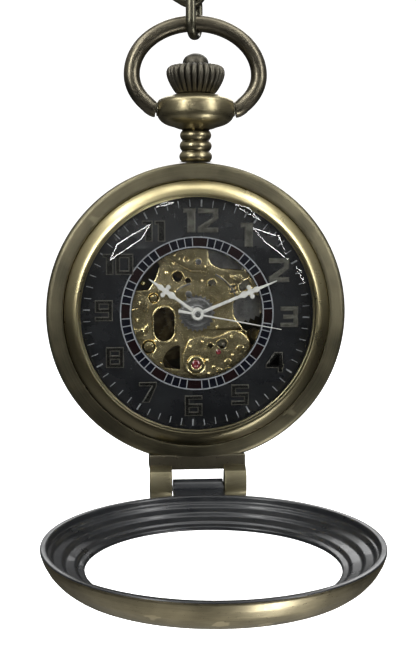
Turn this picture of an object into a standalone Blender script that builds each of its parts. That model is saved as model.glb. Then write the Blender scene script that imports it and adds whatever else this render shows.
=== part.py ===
"""Pocket watch with an open-window front cover, hanging by its bow from two chain links.

The dial faces -Y, +X is to the wearer's three o'clock and +Z is up.  The origin is the place that
the chain is held by: the top of the inside of the chain's last ring.  The watch is modelled in
millimetres about the centre of its case, and every mesh is scaled to metres when it is made.
"""

from math import asin, atan2, cos, hypot, pi, radians, sin, sqrt

import bmesh
import bpy
from mathutils import Matrix, Vector

MM = 0.001

# Case, across the dial (radii) and through it (Y, negative to the front)
CASE_R = 23.0
BAND_BORE_R = 19.4
BAND_BACK_Y = 4.4
BEZEL_R = 20.3
BEZEL_FRONT_Y = -4.1
GLASS_R = 17.95
GLASS_RISE = 1.6
DIAL_R = 18.9
DIAL_WINDOW_R = 10.0
DIAL_FRONT_Y = -1.6
DIAL_T = 0.4
BACK_FLAT_R = 12.5
BACK_Y = 6.9
CASE_STEPS = 40

# Pendant, crown and bow, on a vertical axis through the middle of the case
STEM_Y = 1.1
BALL_Z = 31.1
BALL_A = 6.15
BALL_UP = 2.25
BALL_DOWN = 2.9
CROWN_Z = 33.4
CROWN_R = 4.5
STEM_R = 0.45
BOW_MID_Z = 36.3
BOW_A = 9.75
BOW_UP = 7.7
BOW_DOWN = 6.8
BOW_WIRE_R = 1.25
BOW_PIN_R = 0.6

# Chain
LINK_BEND_R = 2.2
LINK_STRAIGHT = 2.2
LINK_T = 0.55
LINK_W = 0.775
LINK_BOTTOM_Z = 42.05
LINK_TURN = radians(18.5)
CHAIN_X = -0.2
UPPER_LEAN = radians(60)
UPPER_GAP = 1.45
RING_R = 4.4
RING_WIRE_R = 0.6

# Front cover and its hinge
HINGE_Y = -2.7
HINGE_Z = -26.9
COVER_OPEN = radians(91.3)
COVER_SEAT_Y = -2.6
COVER_R = 22.65
COVER_WINDOW_R = 16.85
LIP_HALF_W = 7.45
LIP_BOTTOM_Z = -24.2
LUG_INNER_X = 4.0
LUG_R = 1.55
KNUCKLE_R = 1.4
PIN_R = 0.45
PIN_HOLE_R = 0.55

# Movement: layers through the watch (Y), and the wheels' places in plan (X, Z)
PLATE_R = 17.6
PLATE_Y = (0.0, 1.0)
BRIDGE_Y = (3.7, 4.5)
FOOT_Y = 1.05
CENTRE = (0.0, 0.0)

# Teeth: each pair is a wheel and the pinion that it drives
BARREL_TEETH, CENTRE_LEAVES = 48, 8
CENTRE_TEETH, THIRD_LEAVES = 48, 6
THIRD_TEETH, FOURTH_LEAVES = 45, 6
FOURTH_TEETH, ESCAPE_LEAVES = 48, 6
ESCAPE_TEETH = 15
CANNON_TEETH, MINUTE_TEETH = 8, 24
MINUTE_LEAVES, HOUR_TEETH = 6, 24
CROWN_WHEEL_TEETH, RATCHET_TEETH = 21, 15


def polar(radius, degrees, about=(0.0, 0.0)):
    turn = radians(degrees)
    return (about[0] + radius * cos(turn), about[1] + radius * sin(turn))


BARREL_AT = polar(8.1, 39.5)
THIRD_AT = polar(5.4, 258)
ESCAPE_AT = polar(5.45, 318)
PALLET_AT = polar(2.68, -57, ESCAPE_AT)
BALANCE_AT = polar(3.46, -69.7, PALLET_AT)
CROWN_WHEEL_AT = polar(6.0, 144, BARREL_AT)
MINUTE_WHEEL_AT = polar(3.4, 31.5)
SETTING_AT = (3.4, 14.6)
CLICK_AT = polar(4.7, 20, BARREL_AT)


# ------------------------------------------------------------------------------------------
# Scene, materials and mesh helpers
# ------------------------------------------------------------------------------------------


def clear_scene():
    for old in list(bpy.data.objects):
        bpy.data.objects.remove(old)


def paint(name, colour, roughness, metallic, alpha=1.0):
    material = bpy.data.materials.new(name)
    material.use_nodes = True
    shader = material.node_tree.nodes["Principled BSDF"]
    shader.inputs["Base Color"].default_value = (*colour, 1.0)
    shader.inputs["Roughness"].default_value = roughness
    shader.inputs["Metallic"].default_value = metallic
    shader.inputs["Alpha"].default_value = alpha
    return material


def holder(name, place, parent=None):
    empty = bpy.data.objects.new(name, None)
    empty.location = [MM * value for value in place]
    empty.parent = parent
    bpy.context.scene.collection.objects.link(empty)
    return empty


def solid(name, shape, material, place, parent, aim="Y"):
    """One object from a shape drawn as (a, b, h), with h along the axis that aim names."""
    turns = {
        "X": Matrix(((0, 0, 1), (1, 0, 0), (0, 1, 0))),
        "Y": Matrix(((1, 0, 0), (0, 0, 1), (0, 1, 0))),
        "Z": Matrix.Identity(3),
    }
    bmesh.ops.transform(shape, matrix=turns[aim].to_4x4(), verts=shape.verts)
    bmesh.ops.scale(shape, vec=(MM, MM, MM), verts=shape.verts)
    bmesh.ops.recalc_face_normals(shape, faces=shape.faces)
    mesh = bpy.data.meshes.new(name)
    shape.to_mesh(mesh)
    shape.free()
    mesh.shade_smooth()
    mesh.set_sharp_from_angle(angle=radians(35))
    if material:
        mesh.materials.append(material)
    thing = bpy.data.objects.new(name, mesh)
    thing.location = [MM * value for value in place]
    thing.parent = parent
    bpy.context.scene.collection.objects.link(thing)
    return thing


def combine(thing, operation, name, shape, place=(0, 0, 0), aim="Y"):
    """Join or cut with a hidden shape, whose place is counted from the thing's own origin."""
    tool = solid(name, shape, None, place, thing, aim)
    tool.hide_render = True
    tool.display_type = "WIRE"
    step = thing.modifiers.new(name, "BOOLEAN")
    step.operation = operation
    step.object = tool
    return tool


def turned(profile, steps, ripple=0.0):
    """A turned shape from (radius, height) points.  Ripple draws in every second column."""
    shape = bmesh.new()
    rings = []
    for radius, height, *fluted in profile:
        if radius == 0:
            rings.append([shape.verts.new((0, 0, height))])
            continue
        ring = []
        for k in range(steps):
            reach = radius * (1 - ripple * (k % 2) * bool(fluted))
            turn = 2 * pi * k / steps
            ring.append(shape.verts.new((reach * cos(turn), reach * sin(turn), height)))
        rings.append(ring)
    pairs = list(zip(rings, rings[1:]))
    if all(len(ring) > 1 for ring in rings):
        pairs.append((rings[-1], rings[0]))
    for low, high in pairs:
        for k in range(steps):
            corners = (low[k % len(low)], low[(k + 1) % steps % len(low)])
            corners += (high[(k + 1) % steps % len(high)], high[k % len(high)])
            shape.faces.new(list(dict.fromkeys(corners)))
    return shape


def rod(radius, low, high, steps=16):
    return turned([(0, low), (radius, low), (radius, high), (0, high)], steps)


def tube(inner, outer, low, high, steps=24):
    return turned([(inner, low), (outer, low), (outer, high), (inner, high)], steps)


def plate(outlines, low, high):
    """A flat plate: the first outline is its edge, and the others are holes through it."""
    shape = bmesh.new()
    levels = []
    for height in (low, high):
        loops = [[shape.verts.new((a, b, height)) for a, b in line] for line in outlines]
        edges = []
        for loop in loops:
            edges += [shape.edges.new(pair) for pair in zip(loop, loop[1:] + loop[:1])]
        bmesh.ops.triangle_fill(shape, use_beauty=True, edges=edges)
        levels.append(loops)
    for under, over in zip(*levels):
        count = len(under)
        for k in range(count):
            following = (k + 1) % count
            shape.faces.new((under[k], under[following], over[following], over[k]))
    return shape


def box(low, high):
    outline = [(low[0], low[1]), (high[0], low[1]), (high[0], high[1]), (low[0], high[1])]
    return plate([outline], low[2], high[2])


def arc(radius, start, end, steps, about=(0.0, 0.0)):
    return [polar(radius, start + (end - start) * k / steps, about) for k in range(steps + 1)]


def circle(radius, about=(0.0, 0.0), steps=16):
    return arc(radius, 0, 360, steps, about)[:-1]


def capsule(start, end, radius, steps=6):
    """A bar with round ends between two points in plan."""
    lie = atan2(end[1] - start[1], end[0] - start[0]) * 180 / pi
    return arc(radius, lie + 90, lie + 270, steps, start) + arc(
        radius, lie - 90, lie + 90, steps, end
    )


def swept(path, normal, in_plane, across, sides, closed):
    """A wire along a flat path.  Its half-widths are numbers, or one number for each point."""
    shape = bmesh.new()
    count = len(path)
    thick = in_plane if isinstance(in_plane, list) else [in_plane] * count
    wide = across if isinstance(across, list) else [across] * count
    rings = []
    for i, point in enumerate(path):
        before = path[i - 1] if closed or i else point
        after = path[(i + 1) % count] if closed or i + 1 < count else point
        side = (after - before).cross(normal).normalized()
        ring = []
        for k in range(sides):
            turn = 2 * pi * (k + 0.5) / sides
            offset = side * thick[i] * cos(turn) + normal * wide[i] * sin(turn)
            ring.append(shape.verts.new(point + offset))
        rings.append(ring)
    pairs = list(zip(rings, rings[1:]))
    if closed:
        pairs.append((rings[-1], rings[0]))
    else:
        shape.faces.new(rings[0])
        shape.faces.new(rings[-1])
    for low, high in pairs:
        for k in range(sides):
            following = (k + 1) % sides
            shape.faces.new((low[k], low[following], high[following], high[k]))
    return shape


def gear(count, module, towards=0.0, gap=False):
    """A toothed edge.  A tooth, or a gap, points in the direction given in degrees."""
    pitch_r = count * module / 2
    step = 360 / count
    start = towards + (step / 2 if gap else 0.0)
    edge = []
    for k in range(count):
        edge.append(polar(pitch_r + 0.7 * module, start + step * k))
        edge.append(polar(pitch_r - module, start + step * (k + 0.5)))
    return edge


def crossings(count, inner, outer, bar, start=0.0):
    """The openings between a wheel's arms."""
    holes = []
    for k in range(count):
        middle = start + 360 * (k + 0.5) / count
        half_out = 180 / count - asin(bar / 2 / outer) * 180 / pi
        half_in = 180 / count - asin(bar / 2 / inner) * 180 / pi
        rim = arc(outer, middle - half_out, middle + half_out, 3)
        hub = arc(inner, middle + half_in, middle - half_in, 1)
        holes.append(rim + hub)
    return holes


def spiral(inner, outer, turns, width, steps):
    """A flat spiral strip, as one outline."""
    out, back = [], []
    for k in range(steps + 1):
        radius = inner + (outer - inner) * k / steps
        degrees = 360 * turns * k / steps
        out.append(polar(radius + width / 2, degrees))
        back.append(polar(radius - width / 2, degrees))
    return out + back[::-1]


def direction(start, end):
    return atan2(end[1] - start[1], end[0] - start[0]) * 180 / pi


def distance(start, end):
    return hypot(end[0] - start[0], end[1] - start[1])


def spot(plan, y=0.0):
    """A place in plan as a place in the watch."""
    return (plan[0], y, plan[1])


clear_scene()

ANTIQUE = paint("antique_bronze", (0.10, 0.085, 0.055), 0.38, 1.0)
BRASS = paint("polished_brass", (0.45, 0.36, 0.18), 0.22, 1.0)
BLACK = paint("black_lacquer", (0.012, 0.013, 0.015), 0.25, 0.0)
GOLD = paint("gilt_movement", (0.42, 0.31, 0.12), 0.35, 1.0)
STEEL = paint("movement_steel", (0.36, 0.36, 0.37), 0.30, 1.0)
WHITE = paint("white_hands", (0.78, 0.77, 0.74), 0.35, 0.0)
GLASS = paint("crystal_glass", (0.92, 0.95, 0.95), 0.03, 0.0, 0.2)
RUBY = paint("ruby", (0.35, 0.02, 0.04), 0.10, 0.0)

# ------------------------------------------------------------------------------------------
# Where the chain hangs, worked out from the bow upwards in the watch's own millimetres
# ------------------------------------------------------------------------------------------

LINK_LONG = 2 * LINK_BEND_R + LINK_STRAIGHT
LINK_TOP_Z = LINK_BOTTOM_Z + LINK_LONG
LEAN = Vector((-sin(UPPER_LEAN), 0, cos(UPPER_LEAN)))
UPPER_BOTTOM = Vector((CHAIN_X, STEM_Y, LINK_TOP_Z)) - LEAN * UPPER_GAP
UPPER_TOP = UPPER_BOTTOM + LEAN * LINK_LONG
RING_BOTTOM = UPPER_TOP - LEAN * (LINK_T + RING_WIRE_R + 0.05)
RING_MID = RING_BOTTOM + Vector((0, 0, RING_R))
HANG = RING_MID + Vector((0, 0, RING_R - RING_WIRE_R))

watch = holder("watch_centre", -HANG)
swing = holder("case_swing_axis", (0, STEM_Y, BALL_Z), watch)
stem_axis = holder("stem_axis", (0, STEM_Y, 0), watch)


# ------------------------------------------------------------------------------------------
# Chain and bow
# ------------------------------------------------------------------------------------------


def link_path(long_way, wide_way, bottom):
    """A round-ended loop that starts at its lowest point."""
    path = []
    for end, base in ((-90, LINK_BEND_R), (90, LINK_BEND_R + LINK_STRAIGHT)):
        for k in range(7):
            turn = radians(end - 90 + 30 * k)
            along = base + LINK_BEND_R * sin(turn)
            path.append(bottom + long_way * along + wide_way * LINK_BEND_R * cos(turn))
    return path


def make_chain():
    turned_out = Vector((sin(LINK_TURN), cos(LINK_TURN), 0))
    facing = Vector((cos(LINK_TURN), -sin(LINK_TURN), 0))
    top = Vector((CHAIN_X, STEM_Y, LINK_TOP_Z))
    path = link_path(Vector((0, 0, 1)), turned_out, Vector((0, 0, -LINK_LONG)))
    shape = swept(path, facing, LINK_T, LINK_W, 6, True)
    solid("chain_link_lower", shape, ANTIQUE, top, watch, "Z")

    wide_way = Vector((LEAN.z, 0, -LEAN.x))
    path = link_path(LEAN, wide_way, Vector((0, 0, 0)))
    shape = swept(path, Vector((0, 1, 0)), LINK_T, LINK_W, 6, True)
    solid("chain_link_upper", shape, ANTIQUE, UPPER_BOTTOM, watch, "Z")

    path = []
    for k in range(16):
        turn = 2 * pi * k / 16
        path.append(Vector((0, RING_R * sin(turn), RING_R * cos(turn))))
    shape = swept(path, Vector((1, 0, 0)), RING_WIRE_R, RING_WIRE_R, 6, True)
    solid("chain_ring", shape, ANTIQUE, RING_MID, watch, "Z")


def make_bow():
    """The wire's two ends narrow to pins that turn in the pendant's ball."""
    first = asin(7.05 / BOW_A)
    half = []
    for k in range(15):
        turn = first + (pi - first) * k / 14
        height = BOW_UP if turn > pi / 2 else BOW_DOWN
        half.append(Vector((BOW_A * sin(turn), 0, BOW_MID_Z - BALL_Z - height * cos(turn))))
    pin = [Vector((4.6, 0, 0)), Vector((6.45, 0, 0)), Vector((6.65, 0, 0))]
    right = pin + half
    left = [Vector((-p.x, 0, p.z)) for p in right[:-1]]
    widths = [BOW_PIN_R, BOW_PIN_R, BOW_WIRE_R * 0.75] + [BOW_WIRE_R] * 15
    shape = swept(
        left + right[::-1], Vector((0, 1, 0)), widths[:-1] + widths[::-1],
        widths[:-1] + widths[::-1], 8, False,
    )
    solid("bow", shape, ANTIQUE, (0, 0, 0), swing, "Z")


# ------------------------------------------------------------------------------------------
# Case
# ------------------------------------------------------------------------------------------


def make_case():
    band = solid(
        "case_band",
        turned(
            [
                (BAND_BORE_R, -1.9), (20.4, -1.9), (20.4, -2.3), (21.0, -2.1), (21.7, -2.05),
                (22.3, -2.2), (22.75, -2.4), (CASE_R, -2.1), (CASE_R, 1.8), (22.8, 3.6),
                (22.4, BAND_BACK_Y), (BAND_BORE_R, BAND_BACK_Y),
            ],
            CASE_STEPS,
        ),
        ANTIQUE, (0, 0, 0), watch,
    )
    lip = box((-LIP_HALF_W, LIP_BOTTOM_Z, -2.2), (LIP_HALF_W, -21.6, 1.6))
    combine(band, "UNION", "band_lip", lip)
    combine(band, "DIFFERENCE", "band_stem_hole", rod(0.8, 18, 25), (0, STEM_Y, 0), "Z")

    ring = tube(17.85, 19.2, -1.0, 4.2, 32)
    ring = solid("movement_ring", ring, BRASS, (0, 0, 0), watch)
    combine(ring, "DIFFERENCE", "ring_stem_hole", rod(0.8, 15, 21), (0, STEM_Y, 0), "Z")

    profile = [
        (17.75, -2.1), (BEZEL_R, -2.1), (BEZEL_R, -2.6), (19.9, -3.1), (19.3, -3.85),
        (18.8, BEZEL_FRONT_Y), (18.3, -4.05), (18.05, -3.85), (18.05, -3.15), (17.75, -3.0),
    ]
    solid("bezel", turned(profile, CASE_STEPS), BRASS, (0, 0, 0), watch)

    edge_y = -4.0
    dome = [(GLASS_R * k / 4, edge_y - GLASS_RISE * (1 - (k / 4) ** 2)) for k in range(5)]
    inside = [(r * 0.97, y + 0.75) for r, y in reversed(dome[:4])]
    profile = dome + [(GLASS_R, -3.2), (GLASS_R * 0.95, -3.2)] + inside
    solid("crystal", turned(profile, 24), GLASS, (0, 0, 0), watch)

    profile = [
        (0, BACK_Y - 0.8), (12.3, BACK_Y - 0.8), (16.8, 5.8), (20.0, 5.15), (21.2, 4.5),
        (22.5, 4.5), (22.3, 5.0), (20.5, 5.9), (17.0, 6.6), (BACK_FLAT_R, BACK_Y), (0, BACK_Y),
    ]
    solid("case_back", turned(profile, CASE_STEPS), ANTIQUE, (0, 0, 0), watch)


def make_pendant():
    """A tube with three beads and a flattened ball, bored for the stem and for the bow's pins."""
    profile = [(0.8, BALL_Z + BALL_UP), (4.0, BALL_Z + BALL_UP)]
    for wide, up in ((0.85, 0.92), (0.96, 0.6), (1.0, 0.14), (1.0, -0.14)):
        profile.append((BALL_A * wide, BALL_Z + BALL_UP * up))
    for wide, down in ((0.94, 0.47), (0.8, 0.78), (0.55, 1.0), (0.43, 1.04)):
        profile.append((BALL_A * wide, BALL_Z - BALL_DOWN * down))
    for k in range(3):
        top = 28.0 - 1.62 * k
        profile += [(2.2, top), (2.6, top - 0.35), (2.7, top - 0.81), (2.6, top - 1.27)]
    profile += [(2.7, 23.12), (0.8, 23.12)]
    body = solid("pendant", turned(profile, 18), ANTIQUE, (0, 0, 0), stem_axis, "Z")
    for name, side in (("left", -1), ("right", 1)):
        hole = rod(0.8, 4.3 * side, 7.0 * side, 12)
        combine(body, "DIFFERENCE", f"bow_hole_{name}", hole, (0, 0, BALL_Z), "X")


def make_hinge():
    height = LIP_BOTTOM_Z - 0.06 - HINGE_Z
    outline = [(0.75, height), (-1.3, height), (-LUG_R, height - 0.5)]
    outline += arc(LUG_R, 180, 360, 8)
    hole = circle(PIN_HOLE_R, steps=12)
    hinge = holder("cover_hinge_axis", (0, HINGE_Y, HINGE_Z), watch)
    long = LIP_HALF_W - LUG_INNER_X
    for name, start in (("left", -LIP_HALF_W), ("right", LUG_INNER_X)):
        shape = plate([outline, hole], start, start + long)
        solid(f"hinge_lug_{name}", shape, ANTIQUE, (0, 0, 0), hinge, "X")
    reach = LIP_HALF_W - 0.1
    solid("hinge_pin", rod(PIN_R, -reach, reach, 12), STEEL, (0, 0, 0), hinge, "X")
    return hinge


def make_cover(hinge):
    """The cover is drawn shut and turned open about its hinge."""
    seat = COVER_SEAT_Y - HINGE_Y
    profile = [
        (21.75, 0.0), (COVER_R, 0.0), (COVER_R, 0.4), (22.35, 1.3), (21.7, 2.5), (20.75, 3.6),
        (19.6, 4.55), (18.4, 5.1), (17.4, 4.85), (COVER_WINDOW_R, 4.0), (COVER_WINDOW_R, 3.3),
        (17.8, 3.2), (18.1, 2.8), (21.0, 1.55), (21.7, 1.1),
    ]
    shut = turned([(r, seat - depth) for r, depth in profile], CASE_STEPS)
    bmesh.ops.translate(shut, vec=(0, -HINGE_Z, 0), verts=shut.verts)
    cover = solid("front_cover", shut, ANTIQUE, (0, 0, 0), hinge)
    cover.rotation_euler = (COVER_OPEN, 0, 0)
    knuckle_top = sqrt(KNUCKLE_R**2 - 0.05**2)
    outline = [(-KNUCKLE_R, 4.7)] + arc(KNUCKLE_R, 180, 450, 12)[:-1]
    outline += [(0.05, knuckle_top), (0.05, 4.7)]
    bar = plate([outline], -3.85, 3.85)
    combine(cover, "UNION", "cover_tab", bar, (0, 0, 0), "X")
    combine(cover, "DIFFERENCE", "cover_pin_hole", rod(PIN_HOLE_R, -5, 5, 12), (0, 0, 0), "X")


# ------------------------------------------------------------------------------------------
# Dial and hands
# ------------------------------------------------------------------------------------------


def hand(name, y, length, clock, hub_r, bore_r, ornament_at):
    """A tapered hand with a club ornament, pointing to a clock angle in degrees."""
    left = [(-0.26, hub_r * 0.9), (-0.30, ornament_at - 1.3), (-0.52, ornament_at - 0.75)]
    left += [(-0.3, ornament_at - 0.35), (-0.95, ornament_at - 0.42)]
    left += [(-1.1, ornament_at), (-0.95, ornament_at + 0.42), (-0.3, ornament_at + 0.35)]
    left += [(-0.46, ornament_at + 0.85), (-0.24, ornament_at + 1.4)]
    outline = left + [(0, length)] + [(-a, b) for a, b in reversed(left)]
    hub = arc(hub_r, 75, -255, 14)
    shape = plate([outline + hub, circle(bore_r, steps=12)], y, y + 0.2)
    thing = solid(name, shape, WHITE, (0, 0, 0), watch)
    thing.rotation_euler = (0, radians(clock), 0)


def make_dial():
    outlines = [circle(DIAL_R, steps=CASE_STEPS), circle(DIAL_WINDOW_R, steps=CASE_STEPS)]
    shape = plate(outlines, DIAL_FRONT_Y, DIAL_FRONT_Y + DIAL_T)
    solid("dial", shape, BLACK, (0, 0, 0), watch)
    hand("hour_hand", -2.1, 9.1, 306, 1.0, 0.73, 6.3)
    hand("minute_hand", -2.5, 13.2, 67.6, 0.85, 0.46, 9.0)

    outline = [(-0.28, -3.0), (-0.2, -0.9)] + arc(0.95, 258, 102, 8)
    outline += [(-0.2, 0.93), (-0.07, 13.1), (0.07, 13.1), (0.2, 0.93)]
    outline += arc(0.95, 78, -78, 8) + [(0.2, -0.9), (0.28, -3.0)]
    shape = plate([outline], -3.15, -2.85)
    thing = solid("seconds_hand", shape, WHITE, (0, 0, 0), watch)
    thing.rotation_euler = (0, radians(100.6), 0)


# ------------------------------------------------------------------------------------------
# Movement
# ------------------------------------------------------------------------------------------


def mesh_module(teeth_a, teeth_b, a, b):
    return 2 * distance(a, b) / (teeth_a + teeth_b)


def make_plate():
    """The skeleton plate: its openings show the wheels inside the dial's window."""
    right = arc(10.3, 15, -42, 6)
    right += [(8.3, -5.0), (7.9, -3.4), (6.8, -1.8), (5.9, -0.6), (5.7, 1.2), (6.4, 2.4)]
    top = [(1.7, 9.6), (2.3, 7.6), (3.6, 6.9), (5.2, 6.75), (7.6, 6.6)] + arc(10.3, 46, 76, 4)
    left_top = arc(10.3, 128, 160, 4) + [(-7.4, 3.6), (-6.3, 5.4), (-5.7, 7.3)]
    oblong = arc(1.6, 0, 180, 6, (-5.0, -0.7)) + arc(1.6, 180, 360, 6, (-5.0, -2.8))
    quarter = [(-2.3, -4.9), (-2.2, -9.2), (-5.0, -8.9), (-5.5, -7.6)]
    quarter += arc(3.3, 175, 105, 4, (-2.2, -8.0))
    slot = [(-2.15, 10.9), (-2.15, 15.6), (-0.9, 15.6), (-0.9, 17.2), (0.9, 17.2)]
    slot += [(0.9, 15.6), (2.15, 15.6), (2.15, 10.9)]
    pivots = [(THIRD_AT, 0.35), (ESCAPE_AT, 0.35), (PALLET_AT, 0.35), (BALANCE_AT, 0.35)]
    pivots += [(BARREL_AT, 0.65), (MINUTE_WHEEL_AT, 0.4), (SETTING_AT, 0.45)]
    pivots += [(CENTRE, 1.0), ((5.6, -7.7), 0.6)]
    holes = [circle(radius, about, 8) for about, radius in pivots]
    outlines = [circle(PLATE_R, steps=CASE_STEPS), right, top, left_top, oblong, quarter, slot]
    thing = solid("main_plate", plate(outlines + holes, *PLATE_Y), GOLD, (0, 0, 0), watch)
    cut = rod(0.9, 15, 19, 12)
    combine(thing, "DIFFERENCE", "plate_stem_way", cut, (0, STEM_Y, 0), "Z")


def arbor(thing, radius, low, high):
    combine(thing, "UNION", f"{thing.name}_arbor", rod(radius, low, high, 8))


def pinion(thing, count, module, gap_towards, low, high):
    edge = gear(count, module, gap_towards, True)
    combine(thing, "UNION", f"{thing.name}_pinion", plate([edge], low, high))


def make_train():
    """Barrel, centre, third, fourth and escape wheels, each with a tooth in its neighbour's gap."""
    wheel_m = mesh_module(BARREL_TEETH, CENTRE_LEAVES, BARREL_AT, CENTRE)
    floor = gear(BARREL_TEETH, wheel_m, direction(BARREL_AT, CENTRE))
    barrel = solid(
        "barrel", plate([floor, circle(0.65, steps=12)], 1.7, 1.95), STEEL,
        spot(BARREL_AT), watch,
    )
    combine(barrel, "UNION", "barrel_wall", tube(6.2, 6.6, 1.9, 2.72, 24))
    solid("barrel_cover", tube(0.65, 6.5, 2.76, 2.9, 24), STEEL, spot(BARREL_AT), watch)
    core = [(0, 0.1), (0.5, 0.1), (0.5, 2.05), (0.55, 2.05), (0.55, 3.0)]
    core += [(0.5, 3.0), (0.5, 4.4), (0, 4.4)]
    solid("barrel_arbor", turned(core, 12), STEEL, spot(BARREL_AT), watch)
    coil = plate([spiral(1.1, 5.9, 3, 0.22, 36)], 2.05, 2.65)
    solid("mainspring", coil, STEEL, spot(BARREL_AT), watch)

    third_m = mesh_module(CENTRE_TEETH, THIRD_LEAVES, CENTRE, THIRD_AT)
    centre = solid(
        "centre_wheel",
        plate(
            [gear(CENTRE_TEETH, third_m, direction(CENTRE, THIRD_AT)), circle(0.25, steps=8)]
            + crossings(4, 1.5, 4.3, 0.7), 1.15, 1.4,
        ),
        GOLD, (0, 0, 0), watch,
    )
    leaves = gear(CENTRE_LEAVES, wheel_m, direction(CENTRE, BARREL_AT), True)
    leaves = [leaves, circle(0.25, steps=8)]
    combine(centre, "UNION", "centre_pinion", plate(leaves, 1.5, 2.1))
    combine(centre, "UNION", "centre_tube", tube(0.25, 0.6, 0.05, 1.6, 8))

    fourth_m = mesh_module(THIRD_TEETH, FOURTH_LEAVES, THIRD_AT, CENTRE)
    edge = gear(THIRD_TEETH, fourth_m, direction(THIRD_AT, CENTRE))
    third = solid(
        "third_wheel", plate([edge] + crossings(4, 1.3, 4.3, 0.7, 20), 2.3, 2.55), GOLD,
        spot(THIRD_AT), watch,
    )
    pinion(third, THIRD_LEAVES, third_m, direction(THIRD_AT, CENTRE), 1.05, 1.5)
    arbor(third, 0.2, 0.1, 4.3)

    escape_m = mesh_module(FOURTH_TEETH, ESCAPE_LEAVES, CENTRE, ESCAPE_AT)
    edge = gear(FOURTH_TEETH, escape_m, direction(CENTRE, ESCAPE_AT))
    fourth = solid(
        "fourth_wheel", plate([edge] + crossings(4, 1.2, 3.9, 0.6, 45), 3.2, 3.45), GOLD,
        (0, 0, 0), watch,
    )
    pinion(fourth, FOURTH_LEAVES, fourth_m, direction(CENTRE, THIRD_AT), 2.2, 2.65)
    arbor(fourth, 0.15, -2.8, 4.3)

    edge = []
    tooth = 360 / ESCAPE_TEETH
    for k in range(ESCAPE_TEETH):
        edge += [polar(2.3, tooth * k), polar(1.75, tooth * k + 7)]
    escape = solid(
        "escape_wheel", plate([edge], 2.75, 2.95), STEEL, spot(ESCAPE_AT), watch
    )
    pinion(escape, ESCAPE_LEAVES, escape_m, direction(ESCAPE_AT, CENTRE), 3.1, 3.55)
    arbor(escape, 0.2, 0.1, 4.3)


def make_motion_works():
    """The cannon pinion turns the hour wheel twelve times slower through the minute wheel."""
    module = mesh_module(CANNON_TEETH, MINUTE_TEETH, CENTRE, MINUTE_WHEEL_AT)
    hour_m = mesh_module(MINUTE_LEAVES, HOUR_TEETH, CENTRE, MINUTE_WHEEL_AT)
    towards = direction(CENTRE, MINUTE_WHEEL_AT)
    bore = circle(0.25, steps=8)
    cannon = plate([gear(CANNON_TEETH, module, towards), bore], -0.4, -0.12)
    cannon = solid("cannon_pinion", cannon, STEEL, (0, 0, 0), watch)
    combine(cannon, "UNION", "cannon_pipe", tube(0.25, 0.42, -2.6, -0.3, 8))

    idler = plate([gear(MINUTE_TEETH, module, towards + 180, True)], -0.4, -0.12)
    idler = solid("minute_wheel", idler, GOLD, spot(MINUTE_WHEEL_AT), watch)
    pinion(idler, MINUTE_LEAVES, hour_m, towards + 180, -0.9, -0.5)
    arbor(idler, 0.25, -1.0, 0.9)

    wheel = plate([gear(HOUR_TEETH, hour_m, towards), circle(0.5, steps=8)], -0.85, -0.6)
    wheel = solid("hour_wheel", wheel, STEEL, (0, 0, 0), watch)
    combine(wheel, "UNION", "hour_pipe", tube(0.5, 0.68, -2.2, -0.7, 8))


def make_bridges():
    outline = arc(17.1, 101, 8, 10)
    outline += [(11.0, 1.0), (5.2, 1.5), (2.5, 2.5), (0.6, 3.3), (-3.2, 5.6)]
    holes = [circle(0.65, BARREL_AT, 10), circle(0.7, CROWN_WHEEL_AT, 10)]
    bridge = plate([outline] + holes, *BRIDGE_Y)
    bridge = solid("barrel_bridge", bridge, GOLD, (0, 0, 0), watch)
    foot = arc(17.05, 72, 12, 8) + arc(15.7, 12, 72, 8)
    combine(bridge, "UNION", "barrel_foot", plate([foot], FOOT_Y, BRIDGE_Y[0] + 0.1))

    outline = arc(17.1, 164, 212, 6)
    outline += [(-9.0, -8.4), (-3.0, -7.6), (0.4, -7.0), (2.6, -5.6), (4.6, -4.9)]
    outline += [(5.0, -3.2), (3.4, -1.2), (1.9, 0.8), (0.3, 1.7), (-4.0, 2.6)]
    holes = [circle(0.3, at, 10) for at in (CENTRE, THIRD_AT, ESCAPE_AT)]
    bridge = plate([outline] + holes, *BRIDGE_Y)
    bridge = solid("train_bridge", bridge, GOLD, (0, 0, 0), watch)
    foot = arc(17.05, 166, 210, 6) + arc(14.9, 210, 166, 6)
    combine(bridge, "UNION", "train_foot", plate([foot], FOOT_Y, BRIDGE_Y[0] + 0.1))


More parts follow.
